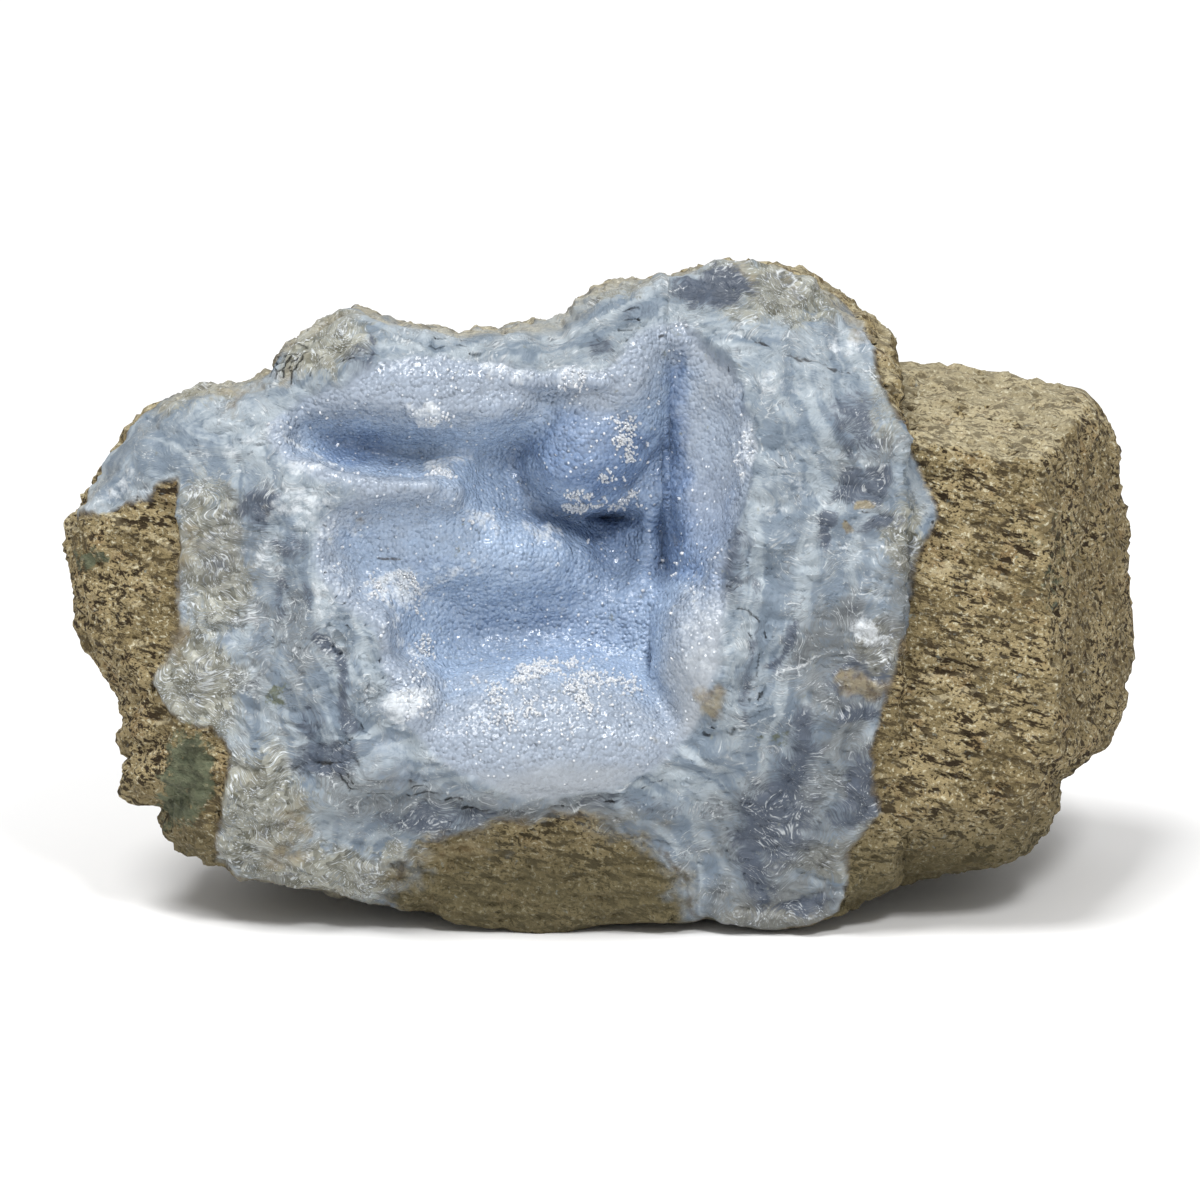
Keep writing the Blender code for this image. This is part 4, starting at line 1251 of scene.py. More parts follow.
@dataclass(frozen=True)
class QuartzPoints:
    """Small clear quartz crystals that stand out of the crust and the sugary margin."""

    count: int = 1600
    radius: tuple[float, float] = (0.12, 0.26)
    length: tuple[float, float] = (0.25, 0.6)
    sunk: float = 0.25
    lean: float = 0.55
    seed: int = 12

    def build(self, net: Net, reading: Reading, material: bpy.types.Material) -> bpy.types.Object:
        """Sets the crystals on the net's brightest places.

        Args:
            net: the net, with its relief.
            reading: what the stone is like at the net's points.
            material: the crystals' finish.

        Returns:
            One piece with every crystal in it.
        """
        rng = np.random.default_rng(self.seed)
        weight = np.maximum(reading.marks[Mark.SPARK], 0.5 * reading.marks[Mark.WHITE])
        weight = np.maximum(weight, 0.12) * reading.crust
        weight = weight * (1 - 0.9 * reading.marks[Mark.SMOOTH]) * fade(reading.facing[:, 2], -0.3, 0.2)
        weight = weight * (0.15 + fade(Grain(81).rugged(reading.place, 3.5, 3, 0.6), -0.05, 0.35))
        tri = net.triangles[net.outer()]
        corners = net.points[tri]
        area = np.linalg.norm(np.cross(corners[:, 1] - corners[:, 0], corners[:, 2] - corners[:, 0]), axis=1)
        share = weight[tri].mean(axis=1) ** 2 * area
        chosen = rng.choice(len(tri), self.count, p=share / share.sum())
        mix = rng.dirichlet((1, 1, 1), self.count)
        foot = (corners[chosen] * mix[:, :, None]).sum(axis=1)
        up = (reading.facing[tri[chosen]] * mix[:, :, None]).sum(axis=1)
        up = up + self.lean * rng.normal(size=up.shape) * 0.6
        up /= np.linalg.norm(up, axis=1)[:, None]
        side = np.cross(up, rng.normal(size=up.shape))
        side /= np.linalg.norm(side, axis=1)[:, None]
        wide = rng.uniform(*self.radius, self.count)
        tall = rng.uniform(*self.length, self.count)
        piece = add_mesh("quartz_points", *self.hexagonal(foot, up, side, wide, tall))
        piece.data.materials.append(material)
        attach(piece, "root")
        LOG.info("quartz_points: %d crystals", self.count)
        return piece

    def hexagonal(self, foot: Array, up: Array, side: Array, wide: Array, tall: Array) -> tuple[Array, Array]:
        """Six-sided crystals with pointed tips.

        Args:
            foot: where each stands.
            up: the way that it points.
            side: the way that one of its edges faces.
            wide: its radius.
            tall: its length over the foot.

        Returns:
            Points, and triangles over them.
        """
        cross = np.cross(up, side)
        rings = []
        for height, reach in ((-self.sunk * np.ones_like(tall), wide), (tall - wide * 1.1, wide)):
            for turn in np.arange(6) * math.tau / 6:
                out = side * math.cos(turn) + cross * math.sin(turn)
                rings.append(foot + up * height[:, None] + out * reach[:, None])
        rings += [foot + up * tall[:, None], foot - up * self.sunk]
        points = np.stack(rings, axis=1).reshape(-1, 3)
        faces = []
        for one in range(6):
            two = (one + 1) % 6
            faces += [(one, two, two + 6), (one, two + 6, one + 6), (one + 6, two + 6, 12), (two, one, 13)]
        triangles = np.arange(len(foot))[:, None, None] * 14 + np.array(faces)
        return points, triangles.reshape(-1, 3)


Socket = bpy.types.NodeSocket


@dataclass
class Graph:
    """Adds nodes to a shader tree and joins them."""

    tree: bpy.types.NodeTree

    def add(self, kind: str, inputs: dict | None = None, **settings: object) -> bpy.types.Node:
        """Adds a node, with its settings, and links or sets its inputs."""
        node = self.tree.nodes.new("ShaderNode" + kind)
        for name, value in settings.items():
            setattr(node, name, value)
        for name, value in (inputs or {}).items():
            if isinstance(value, Socket):
                self.tree.links.new(value, node.inputs[name])
            else:
                node.inputs[name].default_value = value
        return node

    def sum(self, operation: str, one: Socket | float, other: Socket | float = 0.0) -> Socket:
        """One step of arithmetic on values."""
        return self.add("Math", {0: one, 1: other}, operation=operation).outputs[0]

    def blend(self, share: Socket | float, one: Socket | tuple, other: Socket | tuple) -> Socket:
        """A colour between two others."""
        inputs = {0: share, 6: one, 7: other}
        return self.add("Mix", inputs, data_type="RGBA").outputs[2]

    def between(self, share: Socket | float, one: Socket | float, other: Socket | float) -> Socket:
        """A value between two others."""
        return self.add("Mix", {0: share, 2: one, 3: other}).outputs[0]

    def window(self, value: Socket, low: float, high: float) -> Socket:
        """From 0 at the low value to 1 at the high one, softly."""
        inputs = {"Value": value, "From Min": low, "From Max": high}
        return self.add("MapRange", inputs, interpolation_type="SMOOTHSTEP").outputs[0]

    def noise(self, place: Socket, size: float, detail: float = 4, rough: float = 0.6) -> Socket:
        """Lumpy values round 0.5, of about a size in millimetres."""
        inputs = {"Vector": place, "Scale": 1 / size, "Detail": detail, "Roughness": rough}
        return self.add("TexNoise", inputs).outputs[0]

    def grains(self, place: Socket, size: float, feature: str = "F1") -> bpy.types.Node:
        """Irregular cells of about a size in millimetres."""
        return self.add("TexVoronoi", {"Vector": place, "Scale": 1 / size}, feature=feature)

    def drawn_out(self, place: Socket, turn: float, sizes: tuple[float, float, float]) -> Socket:
        """Places turned on the face, by degrees, and divided by the lengths of a drawn-out grain."""
        inputs = {"Vector": place, "Rotation": (0, 0, -math.radians(turn))}
        turned = self.add("Mapping", inputs).outputs[0]
        return self.add("VectorMath", {0: turned, 1: sizes}, operation="DIVIDE").outputs[0]

    def parts(self, socket: Socket) -> list[Socket]:
        """The three parts of a colour or vector."""
        return list(self.add("SeparateXYZ", {0: socket}).outputs)

    def placed(self, group: bpy.types.NodeTree, inputs: dict | None = None) -> bpy.types.Node:
        """Places a node group."""
        node = self.add("Group", node_tree=group)
        for name, value in (inputs or {}).items():
            if isinstance(value, Socket):
                self.tree.links.new(value, node.inputs[name])
            else:
                node.inputs[name].default_value = value
        return node


@dataclass(frozen=True)
class Effect:
    """A node group that several finishes share."""

    name: str = "effect"
    takes: tuple[tuple[str, str], ...] = ()
    gives: tuple[tuple[str, str], ...] = ()

    def build(self) -> bpy.types.NodeTree:
        """Makes the group, with its named inputs and outputs."""
        tree = bpy.data.node_groups.new(self.name, "ShaderNodeTree")
        for name, kind in self.takes:
            tree.interface.new_socket(name, in_out="INPUT", socket_type="NodeSocket" + kind)
        for name, kind in self.gives:
            tree.interface.new_socket(name, in_out="OUTPUT", socket_type="NodeSocket" + kind)
        graph = Graph(tree)
        taken = tree.nodes.new("NodeGroupInput").outputs
        made = self.wire(graph, {name: taken[name] for name, _ in self.takes})
        end = tree.nodes.new("NodeGroupOutput")
        for name, _ in self.gives:
            tree.links.new(made[name], end.inputs[name])
        return tree

    def wire(self, graph: Graph, taken: dict[str, Socket]) -> dict[str, Socket]:
        """Joins what the group takes to what it gives."""
        return taken


MAP_VALUES = (
    "Rock", "Crust", "Quartz", "Rind", "White", "Deep", "Warm", "Green", "Ink", "Shine", "Spark",
    "Smooth", "Inset", "Sunk", "Drab",
)


@dataclass(frozen=True)
class StoneMap(Effect):
    """Where each kind of stone and each stain lies, read from the piece itself."""

    name: str = "stone_map"
    gives: tuple[tuple[str, str], ...] = (("Place", "Vector"),) + tuple((name, "Float") for name in MAP_VALUES)

    def wire(self, graph: Graph, taken: dict[str, Socket]) -> dict[str, Socket]:
        """Reads the piece's own values."""
        made = {"Place": graph.add("Attribute", attribute_name="place").outputs["Vector"]}
        values = []
        for name in ("zones", "stains", "lines"):
            layer = graph.add("Attribute", attribute_name=name).outputs
            values += graph.parts(layer["Color"]) + [layer["Alpha"]]
        values += graph.parts(graph.add("Attribute", attribute_name="inside").outputs["Vector"])
        made.update(zip(MAP_VALUES, values))
        return made


@dataclass(frozen=True)
class GrainyRock(Effect):
    """Granular olive rock with pale grains, rusty patches and dark pits, with painted light on its upward faces and
    painted shade near the floor.
    """

    name: str = "grainy_rock"
    takes: tuple[tuple[str, str], ...] = (("Place", "Vector"), ("PaintedFloorShade", "Float"))
    gives: tuple[tuple[str, str], ...] = (("Color", "Color"), ("Height", "Float"), ("Roughness", "Float"))
    pit: Colour = shade(46, 36, 22)
    olive: Colour = shade(122, 108, 76)
    tan: Colour = shade(148, 133, 98)
    pale: Colour = shade(208, 202, 176)
    rust: Colour = shade(116, 92, 58)
    # painted shade, darker rock near the floor
    painted_floor_shade: Colour = shade(84, 78, 56)

    def wire(self, graph: Graph, taken: dict[str, Socket]) -> dict[str, Socket]:
        """Lays the grains, patches and pits, the painted light on upward faces and the painted shade near the floor.
        """
        place = taken["Place"]
        broad = graph.noise(place, 9, 2)
        streaks = graph.noise(graph.drawn_out(place, -16, (2.9, 1.0, 1.2)), 1, 3, 0.7)
        grain = graph.noise(place, 0.55, 2, 0.6)
        colour = graph.blend(graph.window(broad, 0.40, 0.60), (*self.olive, 1), (*self.tan, 1))
        rusty = graph.window(graph.noise(place, 4.5, 3, 0.7), 0.54, 0.70)
        colour = graph.blend(graph.sum("MULTIPLY", rusty, 0.6), colour, (*self.rust, 1))
        light = graph.window(grain, 0.56, 0.70)
        colour = graph.blend(graph.sum("MULTIPLY", light, 0.7), colour, (*self.pale, 1))
        dark = graph.sum("ADD", graph.window(streaks, 0.51, 0.40), graph.window(grain, 0.45, 0.34))
        # Painted light: faces that look upwards are made paler, and their pits fainter.
        upward = graph.parts(graph.add("NewGeometry").outputs["Normal"])[2]
        painted_top_light = graph.window(upward, 0.45, 0.95)
        colour = graph.blend(graph.sum("MULTIPLY", painted_top_light, 0.3), colour, (*self.pale, 1))
        strong = graph.between(graph.window(broad, 0.35, 0.58), 0.65, 1.0)
        strong = graph.sum("SUBTRACT", strong, graph.sum("MULTIPLY", painted_top_light, 0.35))
        dark = graph.sum("MULTIPLY", graph.sum("MINIMUM", dark, 1.0), strong)
        colour = graph.blend(dark, colour, (*self.pit, 1))
        # Painted shade: darker towards the floor.
        colour = graph.blend(taken["PaintedFloorShade"], colour, (*self.painted_floor_shade, 1))
        height = graph.sum("MULTIPLY", graph.sum("SUBTRACT", streaks, 0.5), 0.9)
        height = graph.sum("ADD", height, graph.sum("MULTIPLY", grain, 0.55))
        rough = graph.between(dark, 0.82, 0.95)
        return {"Color": colour, "Height": height, "Roughness": rough}


@dataclass(frozen=True)
class BandedAgate(Effect):
    """Chalcedony with bands that follow its contact, pale fibres, and sugary quartz at its margin."""

    name: str = "banded_agate"
    takes: tuple[tuple[str, str], ...] = (
        ("Place", "Vector"), ("Inset", "Float"), ("Quartz", "Float"), ("Deep", "Float"), ("Drab", "Float"),
    )
    gives: tuple[tuple[str, str], ...] = (("Color", "Color"), ("Height", "Float"), ("Roughness", "Float"))
    pale: Colour = shade(162, 172, 179)
    blue: Colour = shade(110, 124, 138)
    # slate: deep blue chalcedony, and painted shade where the deep marks lie in creases and under overhangs
    slate: Colour = shade(66, 76, 92)
    drab: Colour = shade(94, 95, 92)
    milk: Colour = shade(212, 217, 219)
    sugar: Colour = shade(164, 164, 152)
    sugar_dark: Colour = shade(92, 91, 76)

    def wire(self, graph: Graph, taken: dict[str, Socket]) -> dict[str, Socket]:
        """Lays the bands, the fibres and the sugary margin."""
        place = taken["Place"]
        swirl = graph.sum("MULTIPLY", graph.noise(place, 8, 1, 0.5), 5.0)
        inset = graph.sum("ADD", taken["Inset"], swirl)
        across = graph.add("VectorMath", {0: place, "Scale": 0.07}, operation="SCALE").outputs[0]
        line = graph.add("CombineXYZ", {0: inset}).outputs[0]
        line = graph.add("VectorMath", {0: across, 1: line}, operation="ADD").outputs[0]
        band = graph.window(graph.noise(line, 2.2, 2, 0.6), 0.38, 0.62)
        cloud = graph.noise(place, 4.2, 3, 0.65)
        bent = graph.add("TexNoise", {"Vector": place, "Scale": 0.12, "Detail": 1.0}).outputs["Color"]
        bent = graph.add("VectorMath", {0: bent, "Scale": 24.0}, operation="SCALE").outputs[0]
        bent = graph.add("VectorMath", {0: bent, 1: place}, operation="ADD").outputs[0]
        fibre = graph.noise(graph.drawn_out(bent, -6, (3.0, 0.42, 0.8)), 1, 4, 0.66)
        fine = graph.noise(graph.drawn_out(bent, -18, (1.5, 0.30, 0.5)), 1, 3, 0.6)
        tone = graph.sum("ADD", graph.sum("MULTIPLY", band, 0.36), graph.sum("MULTIPLY", cloud, 1.2))
        tone = graph.sum("ADD", tone, graph.sum("MULTIPLY", graph.sum("SUBTRACT", fibre, 0.5), 0.6))
        colour = graph.blend(graph.window(tone, 0.48, 1.05), (*self.blue, 1), (*self.pale, 1))
        milky = graph.sum("MULTIPLY", graph.window(fibre, 0.56, 0.70), graph.window(cloud, 0.44, 0.62))
        deep = graph.sum("MULTIPLY", graph.sum("SUBTRACT", graph.sum("ADD", cloud, fibre), 1.0), 2.0)
        drab = graph.sum("MULTIPLY", graph.window(graph.sum("ADD", taken["Drab"], deep), 0.0, 1.3), 0.8)
        # Slate over the deep marks: deep blue chalcedony, and painted shade where they lie in creases and under the
        # mound.
        deep = graph.window(graph.sum("ADD", taken["Deep"], deep), 0.0, 0.85)
        chips = graph.grains(graph.drawn_out(bent, -14, (5.0, 2.4, 3.5)), 1, "DISTANCE_TO_EDGE")
        edge = graph.window(chips.outputs["Distance"], 0.07, 0.0)
        edge = graph.sum("MULTIPLY", edge, graph.window(graph.sum("ADD", fine, cloud), 1.02, 1.2))
        milky = graph.sum("MAXIMUM", graph.sum("MULTIPLY", edge, 0.7), graph.sum("MULTIPLY", milky, 0.75))
        grains = graph.grains(place, 1.15)
        sugar_tone = graph.sum("ADD", graph.parts(grains.outputs["Color"])[0], graph.noise(place, 2.6, 2, 0.7))
        sugar = graph.blend(graph.window(sugar_tone, 0.3, 1.7), (*self.sugar_dark, 1), (*self.sugar, 1))
        frost = graph.sum("MAXIMUM", graph.window(fine, 0.54, 0.66), edge)
        sugar = graph.blend(graph.sum("MULTIPLY", frost, 0.9), sugar, (*self.milk, 1))
        rag = graph.sum("SUBTRACT", graph.sum("ADD", cloud, fibre), 1.0)
        rag = graph.sum("ADD", taken["Quartz"], graph.sum("MULTIPLY", rag, 1.6))
        ragged = graph.window(rag, 0.15, 0.95)
        colour = graph.blend(ragged, colour, sugar)
        colour = graph.blend(drab, colour, (*self.drab, 1))
        colour = graph.blend(graph.sum("MULTIPLY", deep, 0.92), colour, (*self.slate, 1))
        colour = graph.blend(milky, colour, (*self.milk, 1))
        height = graph.sum("MULTIPLY", graph.sum("ADD", fibre, fine), 0.22)
        rough = graph.between(ragged, 0.46, 0.34)
        return {"Color": colour, "Height": height, "Roughness": rough}


@dataclass(frozen=True)
class Druse(Effect):
    """Small quartz crystals over blue chalcedony: bluer and darker the deeper they sit, as painted shade, with
    painted white glints on the knobs.
    """

    name: str = "druse"
    takes: tuple[tuple[str, str], ...] = (
        ("Place", "Vector"), ("Sunk", "Float"), ("Smooth", "Float"), ("Spark", "Float"), ("Deep", "Float"),
    )
    gives: tuple[tuple[str, str], ...] = (
        ("Color", "Color"), ("Height", "Float"), ("Roughness", "Float"), ("Normal", "Vector"),
    )
    # lit, blue and deep: one druse colour painted lighter and greyer near the face, bluer deeper in and darker in the
    # deepest places, as painted light and shade
    lit: Colour = shade(147, 158, 173)
    blue: Colour = shade(150, 169, 194)
    deep: Colour = shade(110, 132, 166)
    skin: Colour = shade(154, 159, 164)
    # frost: painted glints, near-white, laid on a few crystals
    frost: Colour = shade(236, 240, 244)

    def wire(self, graph: Graph, taken: dict[str, Socket]) -> dict[str, Socket]:
        """Lays the crystals, their tones, the painted shade of the deep places and the painted glints."""
        place = taken["Place"]
        cloud = graph.noise(place, 5, 2, 0.6)
        small = graph.grains(place, 0.55)
        one, two, three = graph.parts(small.outputs["Color"])
        # Painted shade: the crust is made bluer and darker the deeper it sits below the face, and under the deep
        # marks.
        depth = graph.sum("ADD", taken["Sunk"], graph.sum("MULTIPLY", graph.sum("SUBTRACT", cloud, 0.5), 12.0))
        colour = graph.blend(graph.window(depth, 1.5, 11), (*self.lit, 1), (*self.blue, 1))
        painted_depth_shade = graph.window(graph.sum("ADD", depth, graph.sum("MULTIPLY", taken["Deep"], 16.0)), 11, 28)
        colour = graph.blend(painted_depth_shade, colour, (*self.deep, 1))
        colour = graph.blend(graph.sum("MULTIPLY", taken["Smooth"], 0.75), colour, (*self.skin, 1))
        shaded = graph.add("HueSaturation", {"Color": colour, "Value": graph.between(one, 0.90, 1.10)})
        # Painted glints: a few crystal cells, more where the spark marks lie, are coloured near-white.
        spark = graph.between(taken["Spark"], 0.955, 0.84)
        glint = graph.add("Math", {0: two, 1: spark}, operation="GREATER_THAN").outputs[0]
        core = graph.window(small.outputs["Distance"], 0.42, 0.20)
        glint = graph.sum("MULTIPLY", graph.sum("MULTIPLY", glint, core), 0.9)
        colour = graph.blend(glint, shaded.outputs[0], (*self.frost, 1))
        height = graph.sum("MULTIPLY", small.outputs["Distance"], -0.34)
        calm = graph.between(taken["Smooth"], 1.0, 0.35)
        height = graph.sum("MULTIPLY", height, calm)
        rough = graph.between(three, 0.20, 0.50)
        lean = graph.add("VectorMath", {0: small.outputs["Color"], 1: (0.5, 0.5, 0.5)}, operation="SUBTRACT")
        lean = graph.add("VectorMath", {0: lean.outputs[0], "Scale": calm}, operation="SCALE").outputs[0]
        facing = graph.add("NewGeometry").outputs["Normal"]
        facing = graph.add("VectorMath", {0: facing, 1: lean}, operation="ADD").outputs[0]
        facing = graph.add("VectorMath", {0: facing}, operation="NORMALIZE").outputs[0]
        return {"Color": colour, "Height": height, "Roughness": rough, "Normal": facing}


@dataclass(frozen=True)
class Stains(Effect):
    """Crusts, stains and cracks that lie over every kind of stone."""

    name: str = "stains"
    takes: tuple[tuple[str, str], ...] = (
        ("Color", "Color"), ("Place", "Vector"), ("White", "Float"), ("Warm", "Float"), ("Green", "Float"),
        ("Ink", "Float"), ("Shine", "Float"), ("Inset", "Float"),
    )
    gives: tuple[tuple[str, str], ...] = (("Color", "Color"), ("Frost", "Float"))
    white: Colour = shade(216, 221, 225)
    warm: Colour = shade(142, 130, 100)
    ochre: Colour = shade(108, 92, 64)
    green: Colour = shade(92, 98, 78)
    moss: Colour = shade(60, 66, 52)
    ink: Colour = shade(40, 40, 42)
    seam: Colour = shade(72, 60, 42)
    shine: Colour = shade(236, 240, 242)

    def wire(self, graph: Graph, taken: dict[str, Socket]) -> dict[str, Socket]:
        """Lays the stains one over the other, with ragged edges."""
        place, colour = taken["Place"], taken["Color"]
        rag = graph.sum("SUBTRACT", graph.noise(place, 1.6, 3, 0.72), 0.5)
        cloud = graph.sum("SUBTRACT", graph.noise(place, 3.6, 3, 0.65), 0.5)
        white = graph.window(graph.sum("ADD", taken["White"], graph.sum("MULTIPLY", rag, 2.4)), 0.3, 1.1)
        colour = graph.blend(graph.sum("MULTIPLY", white, 0.75), colour, (*self.white, 1))
        warm = graph.window(graph.sum("ADD", taken["Warm"], graph.sum("MULTIPLY", cloud, 2.2)), 0.25, 1.1)
        rusty = graph.blend(graph.window(rag, -0.05, 0.12), (*self.warm, 1), (*self.ochre, 1))
        colour = graph.blend(graph.sum("MULTIPLY", warm, 0.8), colour, rusty)
        green = graph.window(graph.sum("ADD", taken["Green"], graph.sum("MULTIPLY", rag, 2.4)), 0.3, 0.8)
        mossy = graph.blend(graph.window(cloud, -0.06, 0.10), (*self.green, 1), (*self.moss, 1))
        colour = graph.blend(graph.sum("MULTIPLY", green, 0.9), colour, mossy)
        seam = graph.window(graph.sum("ABSOLUTE", graph.sum("ADD", taken["Inset"], rag)), 0.75, 0.1)
        seam = graph.sum("MULTIPLY", seam, graph.window(cloud, -0.12, 0.08))
        colour = graph.blend(graph.sum("MULTIPLY", seam, 0.6), colour, (*self.seam, 1))
        shine = graph.window(graph.sum("ADD", taken["Shine"], graph.sum("MULTIPLY", rag, 2.0)), 0.4, 1.0)
        colour = graph.blend(graph.sum("MULTIPLY", shine, 0.6), colour, (*self.shine, 1))
        ink = graph.window(graph.sum("ADD", taken["Ink"], graph.sum("MULTIPLY", cloud, 3.2)), 0.85, 1.3)
        colour = graph.blend(graph.sum("MULTIPLY", ink, 0.85), colour, (*self.ink, 1))
        return {"Color": colour, "Frost": white}


@dataclass(frozen=True)
class SharedEffects:
    """The node groups, built once."""

    stone_map: bpy.types.NodeTree
    rock: bpy.types.NodeTree
    agate: bpy.types.NodeTree
    druse: bpy.types.NodeTree
    stains: bpy.types.NodeTree

    @classmethod
    def build(cls) -> "SharedEffects":
        """Makes every group."""
        effects = (StoneMap(), GrainyRock(), BandedAgate(), Druse(), Stains())
        return cls(*(effect.build() for effect in effects))


@dataclass(frozen=True)
class StoneFinish:
    """The finish of one grown piece: every kind of stone that shows on it, joined without a seam."""

    name: str
    gloss: float
    coat: float
    crusty: bool = True
    rocky: bool = True
    bump: float = 0.9

    def build(self, shared: SharedEffects) -> bpy.types.Material:
        """Makes the material.

        Args:
            shared: the node groups.

        Returns:
            The material.
        """
        material = bpy.data.materials.new(self.name)
        material.use_nodes = True
        graph = Graph(material.node_tree)
        shader = material.node_tree.nodes["Principled BSDF"]
        spot = graph.placed(shared.stone_map).outputs
        place, crust = spot["Place"], spot["Crust"]
        stony = graph.sum("MAXIMUM", spot["Rock"], graph.sum("MULTIPLY", spot["Rind"], 0.85))
        names = ("Place", "Inset", "Quartz", "Deep", "Drab")
        agate = graph.placed(shared.agate, {name: spot[name] for name in names}).outputs
        colour, rough, height = agate["Color"], agate["Roughness"], agate["Height"]
        facing = graph.add("NewGeometry").outputs["Normal"]
        if self.crusty:
            names = ("Place", "Sunk", "Smooth", "Spark", "Deep")
            druse = graph.placed(shared.druse, {name: spot[name] for name in names}).outputs
            colour = graph.blend(crust, colour, druse["Color"])
            rough = graph.between(crust, rough, druse["Roughness"])
            height = graph.between(crust, height, druse["Height"])
            lean = {0: graph.sum("MULTIPLY", crust, 0.55), 4: facing, 5: druse["Normal"]}
            facing = graph.add("Mix", lean, data_type="VECTOR").outputs[1]
            bright = graph.sum("MULTIPLY", graph.sum("MAXIMUM", spot["Spark"], crust), self.coat)
            coat = graph.sum("MULTIPLY", bright, graph.sum("SUBTRACT", 1.0, stony))
            material.node_tree.links.new(coat, shader.inputs["Coat Weight"])
        if self.rocky:
            # The rock gets painted shade near the floor.
            rock = graph.placed(shared.rock, {"Place": place, "PaintedFloorShade": self.painted_floor_shade(graph, place)}).outputs
            colour = graph.blend(stony, colour, rock["Color"])
            rough = graph.between(stony, rough, rock["Roughness"])
            height = graph.between(stony, height, rock["Height"])
        names = ("Place", "White", "Warm", "Green", "Ink", "Shine", "Inset")
        stained = graph.placed(shared.stains, {name: spot[name] for name in names} | {"Color": colour})
        inputs = {"Strength": self.bump, "Distance": MM, "Height": height, "Normal": facing}
        links = {
            "Base Color": stained.outputs["Color"], "Roughness": rough,
            "Normal": graph.add("Bump", inputs).outputs[0],
        }
        for name, socket in links.items():
            material.node_tree.links.new(socket, shader.inputs[name])
        shader.inputs["Specular IOR Level"].default_value = self.gloss
        shader.inputs["Coat Roughness"].default_value = 0.12
        return material

    @staticmethod
    def painted_floor_shade(graph: Graph, place: Socket) -> Socket:
        """Painted shade: how much darker the rock is made near the floor."""
        height = graph.add("VectorMath", {0: place, 1: tuple(FACE.turn()[:, 2])}, operation="DOT_PRODUCT")
        height = graph.sum("ADD", height.outputs["Value"], FACE.middle[2] / MM)
        return graph.sum("MULTIPLY", graph.window(height, 24, 5), 0.75)


@dataclass(frozen=True)
class PointFinish:
    """Clear quartz, with a little frost in it."""

    name: str = "clear_quartz"
    frost: Colour = shade(248, 250, 252)

    def build(self) -> bpy.types.Material:
        """Makes the material."""
        material = bpy.data.materials.new(self.name)
        material.use_nodes = True
        graph = Graph(material.node_tree)
        shader = material.node_tree.nodes["Principled BSDF"]
        place = graph.add("TexCoord").outputs["Object"]
        veil = graph.add("TexNoise", {"Vector": place, "Scale": 1500.0, "Detail": 2.0}).outputs[0]
        colour = graph.blend(graph.window(veil, 0.4, 0.6), (*self.frost, 1), (*shade(226, 232, 240), 1))
        material.node_tree.links.new(colour, shader.inputs["Base Color"])
        rough = graph.between(graph.window(veil, 0.45, 0.65), 0.06, 0.3)
        material.node_tree.links.new(rough, shader.inputs["Roughness"])
        shader.inputs["IOR"].default_value = 1.544
        shader.inputs["Transmission Weight"].default_value = 0.35
        return material


@dataclass(frozen=True)
class FloorFinish:
    """The pale, matt floor."""

    name: str = "floor_finish"
    colour: Colour = (0.9, 0.9, 0.9)

    def build(self) -> bpy.types.Material:
        """Makes the material."""
        material = bpy.data.materials.new(self.name)
        material.use_nodes = True
        shader = material.node_tree.nodes["Principled BSDF"]
        shader.inputs["Base Color"].default_value = (*self.colour, 1)
        shader.inputs["Roughness"].default_value = 0.9
        return material


@dataclass
class Specimen:
    """The three pieces that the specimen grew as, and the clear crystals on them."""

    net: Net
    rock: HostRock = HostRock("host_rock", "matrix_rock", "host_rock", Skin.ROCK, 0.72)
    agate: AgateLining = AgateLining("banded_agate", "agate_lining", "chalcedony", Skin.AGATE, 0.44)
    crust: CrystalCrust = CrystalCrust("druse_crust", "crystal_crust", "druse", Skin.CRUST, 0.335)
    points: QuartzPoints = QuartzPoints()
    unseen: float = 1.6
    keep_flat: float = 3.0
    cover: float = 0.45

    def build(self) -> None:
        """Casts the net, refines it, raises its relief and parts it into its pieces."""
        net = self.net
        net.cast()
        net.straighten()
        net.settle(2)
        LOG.info("net: %d points, %d triangles", len(net.points), len(net.triangles))
        for _ in range(3):
            net.refine(self.spacing())
            net.settle()
        LOG.info("refined: %d points, %d triangles", len(net.points), len(net.triangles))
        facing = net.normals()
        reading = Reading.of(net.form, net.points, facing)
        height = net.ease(self.relief(reading))
        net.bury()
        deeper = net.sink(facing * (np.minimum(height, 0) - self.cover)[:, None])
        outer = np.linalg.norm(facing, axis=1) > 0.5
        net.points = net.points + np.where(outer[:, None], facing * height[:, None], deeper)
        net.unfold(facing)
        shared = SharedEffects.build()
        self.rock.build(net, reading, StoneFinish("host_rock_finish", 0.25, 0.0, crusty=False).build(shared))
        self.agate.build(net, reading, StoneFinish("banded_agate_finish", 0.5, 0.25).build(shared))
        self.crust.build(net, reading, StoneFinish("druse_finish", 0.5, 0.5, rocky=False).build(shared))
        self.points.build(net, reading, PointFinish().build())

    def spacing(self) -> Array:
        """Wanted length of the net's edges at each point: fine on the broken side only."""
        net = self.net
        coarse = 1.0
        wanted = np.full(len(net.points), self.unseen)
        depth = net.points[:, 2]
        seen = net.normals()[:, 2] > -0.25
        for piece in (self.rock, self.agate, self.crust):
            own = net.touching(piece.skin) & seen & (depth > -36)
            wanted[own] = np.minimum(wanted[own], piece.spacing * coarse)
        return wanted

    def relief(self, reading: Reading) -> Array:
        """Height of the relief at each point, with one kind of stone passing into the next."""
        height = self.agate.relief(reading)
        height += reading.crust * (self.crust.relief(reading) - height)
        stony = np.maximum(reading.rock, reading.rind)
        height += stony * (self.rock.relief(reading) - height)
        ground = FACE.height(reading.place)
        outer = np.linalg.norm(reading.facing, axis=1) > 0.5
        return height * outer * fade(ground, 0.3, self.keep_flat)


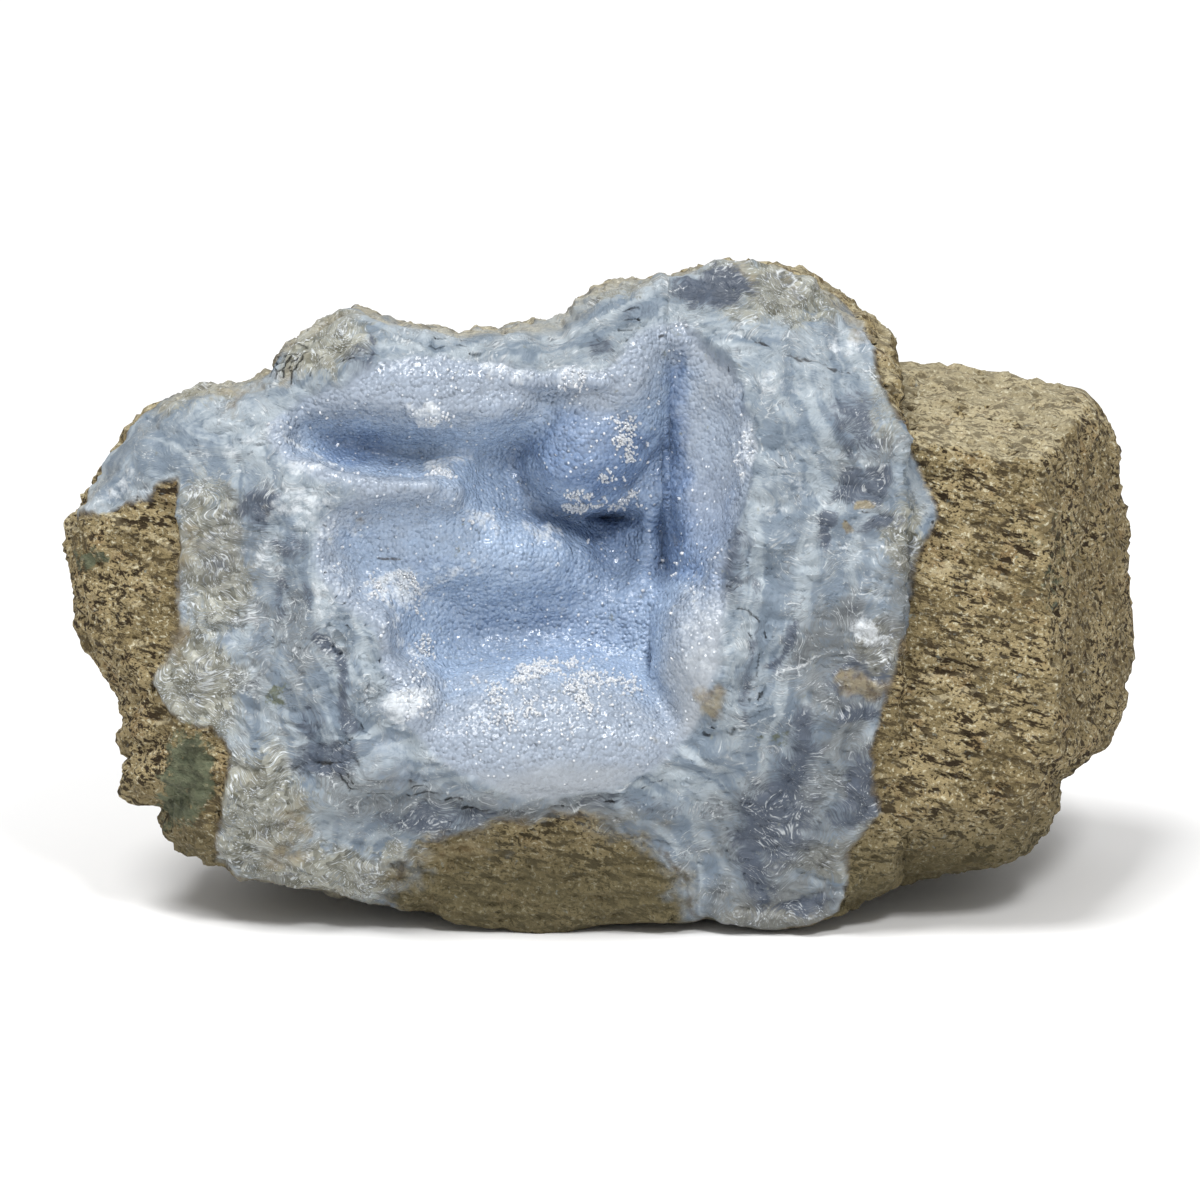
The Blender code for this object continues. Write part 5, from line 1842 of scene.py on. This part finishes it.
@dataclass(frozen=True)
class Studio:
    """The pale floor, the soft lights and the camera."""

    distance: float = 0.8
    field_width: float = 0.1668
    reach: float = 6.0
    room_light: float = 0.5
    sun_strength: float = 2.3
    lamp_power: float = 5.0

    def build(self) -> None:
        """Sets up everything that isn't the specimen."""
        floor_mesh = bpy.data.meshes.new("floor")
        corners = [(-self.reach, -self.reach, 0), (self.reach, -self.reach, 0)]
        corners += [(self.reach, self.reach, 0), (-self.reach, self.reach, 0)]
        floor_mesh.from_pydata(corners, [], [(0, 1, 2, 3)])
        floor = bpy.data.objects.new("floor", floor_mesh)
        bpy.context.scene.collection.objects.link(floor)
        floor_mesh.materials.append(FloorFinish().build())

        world = bpy.data.worlds.new("soft_room")
        world.use_nodes = True
        world.node_tree.nodes["Background"].inputs[0].default_value = (1.0, 1.0, 1.0, 1)
        world.node_tree.nodes["Background"].inputs[1].default_value = self.room_light
        bpy.context.scene.world = world

        middle = Vector(FACE.middle)
        sun = bpy.data.lights.new("sky_light", "SUN")
        sun.energy, sun.angle = self.sun_strength, math.radians(24)
        self.hang(sun, middle + Vector((-0.30, -0.32, 1.0)), middle)
        lamp = bpy.data.lights.new("key_light", "AREA")
        lamp.shape = "RECTANGLE"
        lamp.size, lamp.size_y, lamp.energy = 0.22, 0.16, self.lamp_power
        self.hang(lamp, middle + Vector((0.25, -0.62, 0.75)), middle)

        camera = bpy.data.cameras.new("camera")
        camera.sensor_width = 36
        camera.lens = camera.sensor_width * self.distance / self.field_width
        camera.clip_end = 50
        out = Vector(FACE.turn()[2])
        bpy.context.scene.camera = self.hang(camera, middle + out * self.distance, middle)
        bpy.context.scene.view_settings.view_transform = "Standard"

    @staticmethod
    def hang(data: bpy.types.ID, place: Vector, target: Vector) -> bpy.types.Object:
        """Puts a light or the camera in its place, looking at a target."""
        obj = bpy.data.objects.new(data.name, data)
        bpy.context.scene.collection.objects.link(obj)
        obj.location = place
        obj.rotation_euler = (target - place).to_track_quat("-Z", "Y").to_euler()
        return obj


def main() -> None:
    """Builds the specimen and the studio; the pieces' triangle counts are logged as they are made."""
    logging.basicConfig(level=logging.INFO, format="%(message)s")
    Specimen(Net(Form(), step=1.0)).build()
    Studio().build()


if __name__ == "__main__":
    main()
